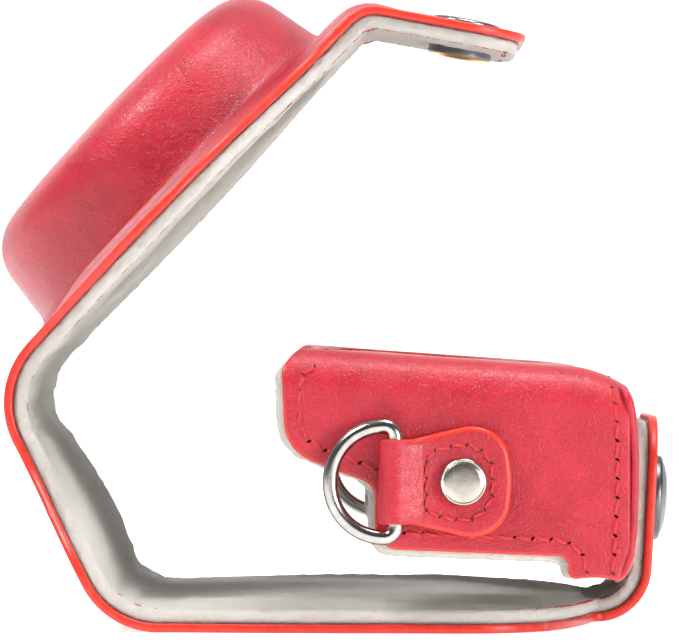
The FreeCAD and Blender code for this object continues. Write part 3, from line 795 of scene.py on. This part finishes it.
def build_dome():
    """Moulded lens dome: a leather shell with a flared foot, and its fleece."""
    outer = dome_profile(DOME_R, DOME_H, 7.5)
    flare = np.array([(0.8, 0.9), (0.6, 1.32), (0.1, 1.55), (-0.25, 2.1)]) + (DOME_R, 0)
    outer = np.vstack([flare, outer[outer[:, 1] > 2.6]])
    inner = dome_profile(DOME_R - DOME_SKIN, DOME_H - DOME_SKIN, 6.3)[::-1]
    points, faces = lathe(np.vstack([outer, inner]))
    soft = smooth_noise(points, 24.0, 5) * 0.14
    rise = np.clip(points[:, 2] / 5.0, 0, 1)
    points[:, 2] += soft * rise
    points[:, :2] *= (1 + (soft * rise / 30.0))[:, None]
    flat = points + (START["front"] + DOME_U, 0, 0)
    attributes = (("flat", "FLOAT_VECTOR", flat), ("edge", "FLOAT", np.zeros(len(points))))
    skin = make_object("dome_skin", dome_frame(points), [f[::-1] for f in faces], LEATHER_LOOK, attributes)
    attach(skin, "front_panel", "cover_leather", "dome_leather")
    outer = dome_profile(DOME_R - DOME_SKIN - 0.02, DOME_H - DOME_SKIN - 0.02, 6.3)
    outer[0, 1] = -1.2
    wall = DOME_SKIN + DOME_FLEECE
    inner = dome_profile(DOME_R - wall, DOME_H - wall, 5.3)[::-1]
    inner[-1, 1] = -1.6
    points, faces = lathe(np.vstack([outer, inner]))
    lump = smooth_noise(points, 2.6, 8) * 0.14
    lump[: len(outer) * AROUND] = 0
    points[:, 2] -= lump * (points[:, 2] > 0.5)
    attributes = (("flat", "FLOAT_VECTOR", points), ("edge", "FLOAT", np.zeros(len(points))))
    fleece = make_object("dome_fleece", dome_frame(points), [f[::-1] for f in faces], FLEECE_LOOK, attributes)
    attach(fleece, "front_panel", "cover_fleece", "dome_lining")


# ---------------------------------------------------------------- the half-case
CASE_HALF = 54.0
CASE_R = 5.5
CASE_SEAM_X = 40.15
FLEECE_RIM = 0.95
ARC = CASE_R * math.pi / 2
FLAT = CASE_HALF - CASE_R


def case_top(x):
    """Height of the front wall's outer face."""
    x = np.asarray(x, float)
    return 39.45 - 0.07 * (x + 4.0) - 0.036 * np.clip(x - 32.0, 0, None) ** 2


def unfold(x, z):
    """Sheet coordinate of a point on the near cheek."""
    return -(FLAT + ARC + case_top(x) - CASE_R - z)


def on_case(x, v, w):
    """Half-case sheet: cheek, rounded edge, front wall, rounded edge, cheek."""
    x, v, w = (np.asarray(q, float) for q in (x, v, w))
    side = np.where(v < 0, -1.0, 1.0)
    a = np.abs(v)
    top = case_top(x)
    angle = np.clip((a - FLAT) / CASE_R, 0, math.pi / 2)
    down = np.clip(a - FLAT - ARC, 0, None)
    y = np.minimum(a, FLAT) + (CASE_R - w) * np.sin(angle)
    z = top - CASE_R + (CASE_R - w) * np.cos(angle) - down
    return np.stack([x, side * y, z], -1)


def case_outline(inset):
    """Unfolded outline of the half-case's front and cheeks."""
    i = inset
    near = [
        (CASE_SEAM_X - abs(i), unfold(39.95, 12.0), 4),
        (38.6, unfold(38.6, 7.05 + max(i, 0.3)), 0.8),
        (31.6 + i, unfold(31.6, 7.05 + max(i, 0.3)), 0.8),
        (31.6 + i, unfold(31.6, 10.7 + i), 1.2),
        (4.9 + i, unfold(4.9, 11.8 + i), 3),
        (4.9 + i, unfold(4.9, 20.6), 2.5),
        (-7.5 + i, unfold(-7.5, 25.2), 5.5),
        (-8.0 + i, unfold(-8.0, 36.8), 3),
        (-4.4 + i, -47.0, 5),
        (-3.4 + i, -38.0, 5),
        (1.0, -28.5 - i, 7),
        (31.3 + i, -28.5 - i, 28.2),
    ]
    far = [(x, -v, r) for x, v, r in near[::-1]]
    return resample(rounded(near + far), 0.6, closed=True)


WALL_Z = (6.9, 8.5, 10.5, 14, 20, 25, 29.5, 32, 33.3, 34.2)
WALL_X = (38.7, 39.9, 40.7, 41.15, 41.35, 41.35, 41.05, 40.65, 40.2, 39.5)


def wall_x(z):
    """Outer face of the bottom wall against height."""
    return np.interp(z, WALL_Z, WALL_X)


def on_wall(y, z, w):
    y, z, w = (np.asarray(q, float) for q in (y, z, w))
    return np.stack([wall_x(z) - w, y, z], -1)


def wall_outline(half, low, high, step):
    corners = [(-half, low, 1.2), (half, low, 1.2), (half, high, 2.2), (-half, high, 2.2)]
    return resample(rounded(corners), step, closed=True)


def build_case():
    """Front wall with its cheeks, and the bottom wall, each in leather and fleece."""
    outline = case_outline(0.0)
    skin = sheet_solid(
        "case_skin", outline, None, [], on_case, 0.0, 1.3, LEATHER_LOOK, 1.2, 0.45, 0.10, 0.0, 21
    )
    flats = np.zeros(len(skin.data.vertices) * 3, np.float32)
    skin.data.attributes["flat"].data.foreach_get("vector", flats)
    marks = np.zeros(len(skin.data.vertices), np.float32)
    edge = skin.data.attributes["edge"].data
    edge.foreach_get("value", marks)
    edge.foreach_set("value", marks * (flats[0::3] < CASE_SEAM_X - 1.3))
    attach(skin, "half_case", "case_leather", "case_front_leather")
    outline = case_outline(-FLEECE_RIM)
    fleece = sheet_solid(
        "case_fleece", outline, None, [], on_case, 1.32, 3.15, FLEECE_LOOK, 1.2, 0.8, 0.05, 0.12, 22
    )
    build_fuzz("case_fuzz", fleece, 1.3, 0.7, "half_case", 70)
    attach(fleece, "half_case", "case_fleece", "case_lining")
    outline = wall_outline(53.9, 7.15, 34.0, 0.6)
    skin = sheet_solid(
        "case_wall", outline, None, [], on_wall, 0.0, 1.35, LEATHER_LOOK, 1.5, 0.9, 0.08, 0.0, 23
    )
    skin.data.attributes["edge"].data.foreach_set("value", [0.0] * len(skin.data.vertices))
    attach(skin, "half_case", "case_leather", "case_bottom_leather")
    outline = wall_outline(50.6, 7.9, 32.4, 0.7)
    fleece = sheet_solid(
        "case_wall_fleece", outline, None, [], on_wall, 1.36, 3.2, FLEECE_LOOK, 1.5, 0.8, 0.0, 0.1, 24
    )
    attach(fleece, "half_case", "case_fleece")


# ---------------------------------------------------------------- stitches
def stitch_mesh(name, rows, where, radius=0.27, length=0.88, sag=0.22, replaces=()):
    """Rows of raised stitches, with dark discs of painted shade at their holes. Each row is a list of (start,
    end, surface normal) in mm.
    """
    verts, faces = [], []
    hole_shade_verts, hole_shade_faces = [], []
    for a, b, n in rows:
        n = n / np.linalg.norm(n)
        along = b - a
        size = np.linalg.norm(along)
        if size < 0.4:
            continue
        along /= size
        side = np.cross(n, along)
        a2 = a + along * size * (1 - length) / 2 + side * 0.19
        b2 = b - along * size * (1 - length) / 2 - side * 0.19
        rings = 7
        base = len(verts)
        for k in range(rings):
            t = k / (rings - 1)
            bulge = math.sin(math.pi * t)
            centre = a2 + (b2 - a2) * t + n * (sag * bulge**0.6 - 0.10)
            r = radius * (0.45 + 0.55 * bulge**0.5)
            for q in range(8):
                angle = q * math.pi / 4
                verts.append(centre + side * r * math.cos(angle) + n * r * 0.75 * math.sin(angle))
        for k in range(rings - 1):
            for q in range(8):
                p = (q + 1) % 8
                here = base + k * 8
                faces.append([here + q, here + p, here + 8 + p, here + 8 + q])
        faces.append([base + q for q in range(7, -1, -1)])
        faces.append([base + (rings - 1) * 8 + q for q in range(8)])
        # a dark disc at each end of the stitch: painted shade where the thread sinks into its hole
        for centre in (a, b):
            base = len(hole_shade_verts)
            for lift in (-0.1, 0.03):
                for q in range(8):
                    angle = q * math.pi / 4
                    turned = along * 0.19 * math.cos(angle) + side * 0.33 * math.sin(angle)
                    hole_shade_verts.append(centre + n * lift + turned + along * 0.16 * math.sin(angle))
            for q in range(8):
                p = (q + 1) % 8
                hole_shade_faces.append([base + q, base + p, base + 8 + p, base + 8 + q])
            hole_shade_faces.append([base + q for q in range(7, -1, -1)])
            hole_shade_faces.append([base + 8 + q for q in range(8)])
    attach(make_object(name, np.array(verts), faces, THREAD_LOOK), where, "thread", *replaces)
    attach(make_object(name + "_hole_shade", np.array(hole_shade_verts), hole_shade_faces, HOLE_SHADE_LOOK), where, "thread")


def rows_on(path, place, depth, pitch=2.5, flip=1.0):
    """Stitches along a path of sheet coordinates, on the face at that depth."""
    points = resample(path, 0.25)
    spots = place(points[:, 0], points[:, 1], np.full(len(points), depth))
    d = np.concatenate([[0], np.cumsum(np.linalg.norm(np.diff(spots, axis=0), axis=1))])
    count = max(1, int(round(d[-1] / pitch)))
    at = np.linspace(0, d[-1], count + 1)
    a = np.interp(at, d, points[:, 0])
    b = np.interp(at, d, points[:, 1])
    on = place(a, b, np.full(len(a), depth))
    up = place(a, b, np.full(len(a), depth - 0.5 * flip)) - on
    return [(on[i], on[i + 1], up[i] + up[i + 1]) for i in range(count)]


def mirrored(rows):
    return [(a * (1, -1, 1), b * (1, -1, 1), n * (1, -1, 1)) for a, b, n in rows]


def build_case_stitches():
    ear = [(-5.6, 33.8), (-5.5, 28.6), (-4.6, 26.9), (-2.6, 25.6), (1.6, 24.1), (5.2, 22.8)]
    lower = [(7.3, 18.2), (7.3, 15.0), (8.4, 14.0), (20.0, 13.5), (29.6, 13.1)]
    lower += [(32.4, 12.4), (33.8, 10.6), (34.1, 8.6)]
    rows = []
    for line in (ear, lower):
        sheet = resample(np.array([(x, unfold(x, z)) for x, z in line]), 0.5)
        rows += rows_on(sheet, on_case, 0.0)
    over = [(-5.6, unfold(-5.6, 33.8)), (-5.0, unfold(-5.0, 35.8)), (-3.4, unfold(-3.4, 37.2))]
    rows += rows_on(np.array(over), on_case, 0.0)
    seam = [(37.6, unfold(37.6, 34.6)), (38.2, unfold(38.2, 30))]
    seam += [(38.35, unfold(38.3, 20)), (37.7, unfold(37.7, 8.4))]
    rows += rows_on(np.array(seam), on_case, 0.0)
    stitch_mesh("case_stitches", rows + mirrored(rows), "half_case", replaces=("case_thread",))
    shoulder = np.array([(-2.0, -48.5), (-1.0, -38.6), (2.6, -31.2)])
    turn = np.linspace(0.15, math.pi - 0.15, 60)
    arc = np.column_stack([2.8 + 31.2 * np.sin(turn), -31.2 * np.cos(turn)])
    edge = np.array([(37.4, -46.0), (37.4, 46.0)])
    rim = []
    for path in (shoulder, shoulder * (1, -1), arc, edge):
        rim += rows_on(path, on_case, 0.0)
    stitch_mesh("case_rim_stitches", rim, "half_case", 0.16, 0.8, 0.04)


def both_faces(path):
    """Stitches on the fleece face and on the outer face of the cover."""
    return rows_on(path, on_cover, LEATHER + FLEECE, flip=-1.0) + rows_on(path, on_cover, 0.0)


def build_cover_stitches():
    for i in range(4):
        a = SPLITS[i] + (2.6 if i == 0 else 0.0)
        b = SPLITS[i + 1] - (2.6 if i == 3 else 0.0)
        s = np.linspace(a, b, 200)
        rows = []
        for side in (-1, 1):
            rows += both_faces(np.column_stack([s, side * (half_width(s) - STITCH_INSET)]))
        if i in (0, 3):
            end = a if i == 0 else b
            h = float(half_width(end)) - STITCH_INSET
            rows += both_faces(np.array([(end, -h), (end, h)]))
        stitch_mesh(f"cover_stitches_{i + 1}", rows, across_fold(i), 0.16, 0.8, 0.06)


# ---------------------------------------------------------------- tab, hardware
RING_BAR_X = 7.7
RING_WIRE = 1.15
RIVET_X = 17.0
TAB_PLY = 1.2
TAB_LOOP_HALF = 5.85
CUSHION_HALF = 50.0


def tab_outline():
    corners = (
        (9.6, -5.75, 0), (17.8, -7.75, 7.0), (23.0, -6.9, 5.0), (23.75, 0.0, 12.0),
        (23.0, 6.9, 5.0), (17.8, 7.75, 7.0), (9.6, 5.75, 0),
    )
    return resample(rounded([(x, TAB_Z + z, r) for x, z, r in corners]), 0.4, closed=True)


def tab_loop(side):
    """Thick band round the ring's bar, from under the tab to on top of it."""
    y0, outer = CASE_HALF, RING_WIRE + TAB_PLY
    angles = np.linspace(math.radians(-62), math.radians(-298), 34)
    around = np.column_stack([np.cos(angles), np.sin(angles)])
    centre = (RING_BAR_X, y0 + outer)
    within = centre + RING_WIRE * around
    without = centre + outer * around
    without[:, 1] = np.maximum(without[:, 1], y0 + 0.03)
    within = np.vstack([(10.4, y0 + TAB_PLY - 0.15), within, (11.0, y0 + 2 * TAB_PLY - 0.1)])
    without = np.vstack([(11.2, y0 + 0.05), without, (11.4, y0 + 2 * TAB_PLY + 0.75)])
    low = -TAB_LOOP_HALF
    lip = ((0.28, 0.0, 0), (0.08, 0.22, 1), (0.0, 0.5, 1), (0.08, 0.78, 1), (0.28, 1.0, 0))
    layers = [(low + z, share, mark) for z, share, mark in lip]
    layers += [(z, 1.0, 0) for z in np.linspace(low + 1.2, -low - 1.2, 9)]
    layers += [(-low - z, share, mark) for z, share, mark in lip[::-1]]
    layers += [(z, 0.0, 0) for z in np.linspace(-low - 1.2, low + 1.2, 9)]
    verts, faces = [], []
    for a, b in zip(within, without):
        for z, share, _ in layers:
            x, y = a * (1 - share) + b * share
            verts.append((x, side * y, TAB_Z + z))
    q, m = len(layers), len(within)
    for i in range(m - 1):
        for k in range(q):
            n = (k + 1) % q
            faces.append([i * q + k, i * q + n, (i + 1) * q + n, (i + 1) * q + k])
    faces.append(list(range(q))[::-1])
    faces.append([(m - 1) * q + k for k in range(q)])
    if side > 0:
        faces = [f[::-1] for f in faces]
    return verts, faces, [mark for _, _, mark in layers] * m


def build_tab(side, label):
    """Strap tab: two plies, a loop round the ring's bar, and a seam. Returns the seam's stitches."""
    def place(x, z, w):
        x, z, w = (np.asarray(q, float) for q in (x, z, w))
        field = np.column_stack([x.ravel(), z.ravel()])
        wave = 0.25 * smooth_noise(field, 9.0, 4).reshape(x.shape)
        rise = np.clip(w / TAB_PLY, 0, 1)
        dip = 0.35 * np.exp(-(((x - RIVET_X) ** 2 + (z - TAB_Z) ** 2) / 14.0))
        lift = 0.9 * np.clip((13.5 - x) / 4.0, 0, 1) ** 2
        depth = w + (wave * 0.3 - dip + lift) * rise * (w > TAB_PLY)
        return np.stack([x, side * (CASE_HALF + depth), z], -1)

    plies = ((0.02, TAB_PLY, 0.3), (TAB_PLY, 2 * TAB_PLY, 0.75))
    for number, (low, high, bevel) in enumerate(plies):
        obj = sheet_solid(
            f"tab_{label}_{number + 1}", tab_outline(), None, [], place, low, high, LEATHER_LOOK,
            0.8, bevel, 0.0, 0.0, 31,
        )
        if side > 0:
            obj.data.flip_normals()
        attach(obj, "half_case", "tab_leather")
    verts, faces, mark = tab_loop(side)
    attributes = (("flat", "FLOAT_VECTOR", np.array(verts)), ("edge", "FLOAT", mark))
    loop = make_object(f"tab_{label}_loop", verts, faces, LEATHER_LOOK, attributes)
    attach(loop, "half_case", "tab_leather", f"strap_tab_{label}")
    corners = (
        (11.9, -4.3, 0.5), (15.6, -5.2, 3.0), (19.0, -5.0, 0.8), (21.0, -2.6, 2.0),
        (21.0, 2.6, 2.0), (18.7, 5.2, 0.8), (15.6, 4.9, 3.0), (11.9, 3.9, 0.5),
    )
    path = rounded([(x, TAB_Z + z, r) for x, z, r in corners])
    path = np.vstack([path, path[:1]])
    return rows_on(path, lambda x, z, w: place(x, z, 2 * TAB_PLY - w), 0.0, pitch=2.3)


def turned_part(name, profile, centre, axis, body, look, slot, *replaced):
    """Turned metal part: a closed profile of (radius, height) about an axis, in mm."""
    points, faces = lathe(profile, 72)
    axis = np.array(axis, float)
    axis /= np.linalg.norm(axis)
    side = np.cross(axis, (0.0, 1.0, 0.0)) if abs(axis[1]) < 0.9 else np.array([1.0, 0, 0])
    side /= np.linalg.norm(side)
    other = np.cross(axis, side)
    verts = np.array(centre) + points[:, :1] * side + points[:, 1:2] * other + points[:, 2:] * axis
    flat = ("flat", "FLOAT_VECTOR", verts)
    obj = make_object(name, verts, [f[::-1] for f in faces], look, (flat,), sharp=40.0)
    attach(obj, body, slot, *replaced)


def cap_profile(radius, height):
    """Cap with a gently domed top, a fine groove and a rolled rim."""
    r, h = radius, height
    top = ((0.25, 0.01), (0.5, 0.04), (0.68, 0.09), (0.80, 0.17), (0.84, 0.27), (0.87, 0.31))
    rim = ((0.91, 0.26), (0.96, 0.33), (0.99, 0.52))
    line = [(0.02, h)] + [(r * share, h - drop) for share, drop in top + rim]
    return line + [(r, h * 0.5), (r * 0.98, h * 0.2), (r * 0.94, 0.0), (0.02, -0.3)]


SOCKET = (
    (4.75, -0.5), (4.8, 0.5), (4.72, 1.0), (4.62, 1.5), (4.74, 1.85), (4.70, 2.08), (4.5, 2.18),
    (4.2, 2.16), (3.95, 2.0), (3.75, 1.6), (3.6, 1.2), (3.5, 0.7), (3.5, -0.5),
)
SOCKET_RING = (
    (3.55, 0.6), (3.65, 1.5), (4.05, 2.0), (4.45, 2.1), (4.5, 2.3), (4.3, 2.44), (3.9, 2.4),
    (3.4, 2.1), (3.05, 1.5), (2.95, 0.6),
)
DISC = (
    (0.02, 2.7), (2.0, 2.66), (3.6, 2.5), (4.6, 2.25), (5.2, 1.98), (5.5, 1.86), (5.8, 1.8),
    (6.1, 1.6), (6.22, 1.3), (6.22, 0.7), (6.1, 0.25), (5.9, 0.0), (0.02, -0.3),
)


def build_hardware():
    """Rivet caps, flap catch and tongue disc."""
    for side, label in ((-1.0, "near"), (1.0, "far")):
        centre = (RIVET_X, side * (CASE_HALF + 2 * TAB_PLY - 0.1), TAB_Z)
        replaced = ("rivets",) if label == "near" else ()
        cap = cap_profile(3.25, 1.55)
        axis = (0, side, 0)
        turned_part(f"rivet_{label}", cap, centre, axis, "half_case", NICKEL_LOOK, "rivet_nickel", *replaced)
    on, under = on_cover(np.full(2, START["flap"] + CATCH_U), 0.0, np.array([0.0, 1.0]))
    out = on - under
    cap = cap_profile(5.4, 1.35)
    turned_part("flap_cap", cap, on + out * 0.1, out, "flap", CAP_LOOK, "catch_nickel", "catch_cap")
    mouth = on - out * 2.0
    turned_part("flap_socket", SOCKET, mouth, -out, "flap", DARK_METAL_LOOK, "catch_dark", "catch_housing")
    turned_part("flap_socket_ring", SOCKET_RING, mouth, -out, "flap", BRASS_LOOK, "catch_brass")
    lean = math.radians(LEAN)
    centre = (FOLD_1_CORNER + DISC_Z * math.tan(lean) - 0.02, 0.0, DISC_Z)
    axis = (math.cos(lean), 0.0, -math.sin(lean))
    turned_part("tongue_disc", DISC, centre, axis, "half_case", DARK_METAL_LOOK, "catch_nickel", "catch_disc")


def bore(y, z, radius):
    return np.column_stack([y + radius * np.cos(TURN_40), z + radius * np.sin(TURN_40)])


def build_cushion():
    """Fleece-covered foam strip inside the bottom wall, bored for the screw."""
    def place(y, z, w):
        y, z, w = (np.asarray(q, float) for q in (y, z, w))
        return np.stack([wall_x(np.clip(z, 9.5, 31.0)) - 3.15 - w, y, z], -1)

    def crown(flats, low, high):
        inner = np.clip((flats[:, 2] - low) / (high - low), 0, 1)
        edge_y = np.clip((CUSHION_HALF - np.abs(flats[:, 0])) / 7.0, 0, 1)
        edge_z = np.clip((11.6 - np.abs(flats[:, 1] - SCREW_Z)) / 6.0, 0, 1)
        soft = np.sqrt(edge_y * (2 - edge_y) * edge_z * (2 - edge_z))
        return -1.9 * inner * (1 - soft)

    half = CUSHION_HALF
    corners = [(-half, 8.0, 3.0), (half, 8.0, 3.0), (half, 31.2, 3.0), (-half, 31.2, 3.0)]
    pad = sheet_solid(
        "base_cushion", resample(rounded(corners), 0.9, closed=True), None, [bore(SCREW_Y, SCREW_Z, 2.9)],
        place, 0.0, 6.2, FLEECE_LOOK, 1.4, 1.2, 0.0, 0.12, 51, crown,
    )
    attach(pad, "half_case", "pad", "base_pad")


def build_spacer():
    """Round leather spacer that fills the gap between the tongue and the bottom wall."""
    lean = math.radians(LEAN)

    def between(y, h, w):
        y, h, w = (np.asarray(q, float) for q in (y, h, w))
        z = DISC_Z + h
        wall = wall_x(z) + 0.02
        tongue = FOLD_1_CORNER - (LEATHER + FLEECE) / math.cos(lean) + z * math.tan(lean) - 0.02
        return np.stack([tongue + (wall - tongue) * w, y, z], -1)

    ring = rounded([(-8.9, -8.9, 8.8), (8.9, -8.9, 8.8), (8.9, 8.9, 8.8), (-8.9, 8.9, 8.8)])
    spacer = sheet_solid(
        "tongue_spacer", resample(ring, 0.6, closed=True), None, [bore(0.0, 0.0, 1.6)], between,
        0.0, 1.0, LEATHER_LOOK, 1.2, 0.2, 0.0, 0.0, 52,
    )
    attach(spacer, "half_case", "case_leather", "tongue_pad")


# ---------------------------------------------------------------- metal nodes, stage, camera
STAGE_HALF, STAGE_BACK, STAGE_TALL = 3500.0, 3000.0, 2500.0
SKY_TONES = ((0.0, (0.16, 0.16, 0.17)), (0.42, (0.40, 0.40, 0.41)), (0.6, (1.0, 1.0, 1.0)))
LIGHTS = (
    ("key", (-0.42, -0.35, 0.70), 6.0, 0.2, (1, 0.98, 0.96)),
    ("fill", (0.62, -0.60, 0.12), 5.8, 0.3, (1, 0.985, 0.95)),
    ("over", (0.20, -0.10, 0.85), 5.6, 0.35, (1, 1, 1)),
    ("rim", (-0.5, 0.6, 0.5), 1.5, 0.4, (1, 1, 1)),
)
CAMERA_DISTANCE = 0.844
CAMERA_HEIGHT = 0.0432


def shade_metal():
    looks = {
        "d_ring_near": STEEL_LOOK, "d_ring_far": STEEL_LOOK, "rivet_burrs": NICKEL_LOOK,
        "disc_burr": NICKEL_LOOK, "catch_magnet": DARK_METAL_LOOK, "catch_core": BRASS_LOOK,
        "tripod_screw": SCREW_LOOK, "screw_washer": SCREW_LOOK,
    }
    for name, look in looks.items():
        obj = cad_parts[name]
        obj.data.materials.clear()
        obj.data.materials.append(look)


def build_stage():
    """Pale floor that curves up into a backdrop, soft lights, and a sky that is darker in front."""
    floor_look, g = new_material("table")
    tone = g.ramp(((0.3, (0.86,) * 3), (0.7, (0.90,) * 3)), g.noise(g.place_mm(), 0.01, 3.0))
    shader = g.nodes["Principled BSDF"]
    g.link(tone, shader.inputs["Base Color"])
    g.link(tone, shader.inputs["Emission Color"])
    shader.inputs["Roughness"].default_value = 0.6
    shader.inputs["Emission Strength"].default_value = 0.85
    verts = [(-STAGE_HALF, -STAGE_BACK, 0), (STAGE_HALF, -STAGE_BACK, 0)]
    verts += [(STAGE_HALF, STAGE_BACK, 0), (-STAGE_HALF, STAGE_BACK, 0)]
    turn = np.linspace(0, math.pi / 2, 13)[1:]
    curve = [(STAGE_BACK + 300 * math.sin(a), 300 * (1 - math.cos(a))) for a in turn]
    curve.append((STAGE_BACK + 300, STAGE_TALL))
    faces = [(0, 1, 2, 3)]
    last = (3, 2)
    for y, z in curve:
        verts += [(-STAGE_HALF, y, z), (STAGE_HALF, y, z)]
        n = len(verts)
        faces.append((last[0], last[1], n - 1, n - 2))
        last = (n - 2, n - 1)
    make_object("table_sweep", verts, faces, floor_look)
    world = bpy.data.worlds.new("studio")
    bpy.context.scene.world = world
    world.use_nodes = True
    g = Graph(world.node_tree)
    coord = g.nodes.new("ShaderNodeTexCoord")
    split = g.nodes.new("ShaderNodeSeparateXYZ")
    g.link(coord.outputs["Generated"], split.inputs["Vector"])
    depth = g.maths("MULTIPLY_ADD", split.outputs["Y"], 0.5, 0.5)
    sky = g.nodes["Background"].inputs
    g.link(g.ramp(SKY_TONES, depth), sky["Color"])
    sky["Strength"].default_value = 0.52
    bpy.context.scene.view_settings.view_transform = "Standard"
    for name, place, power, size, colour in LIGHTS:
        data = bpy.data.lights.new(name, "AREA")
        data.energy = power
        data.size = size
        data.color = colour
        light = bpy.data.objects.new(name, data)
        light.location = place
        aim = Vector((0, 0, 0.04)) - Vector(place)
        light.rotation_euler = aim.to_track_quat("-Z", "Y").to_euler()
        bpy.context.scene.collection.objects.link(light)


def build_camera():
    data = bpy.data.cameras.new("camera")
    data.sensor_width = 36.0
    data.lens = 304.0
    data.clip_start = 0.01
    data.clip_end = 20.0
    camera = bpy.data.objects.new("camera", data)
    camera.location = (0.0, -CAMERA_DISTANCE, CAMERA_HEIGHT)
    camera.rotation_euler = (math.radians(90), 0, 0)
    bpy.context.scene.collection.objects.link(camera)
    bpy.context.scene.camera = camera


build_cover()
build_dome()
build_case()
build_case_stitches()
build_cover_stitches()
tab_rows = build_tab(-1.0, "near")
tab_rows += build_tab(1.0, "far")
stitch_mesh("tab_stitches", tab_rows, "half_case", radius=0.24, replaces=("tab_thread",))
build_hardware()
build_cushion()
build_spacer()
shade_metal()
build_stage()
build_camera()
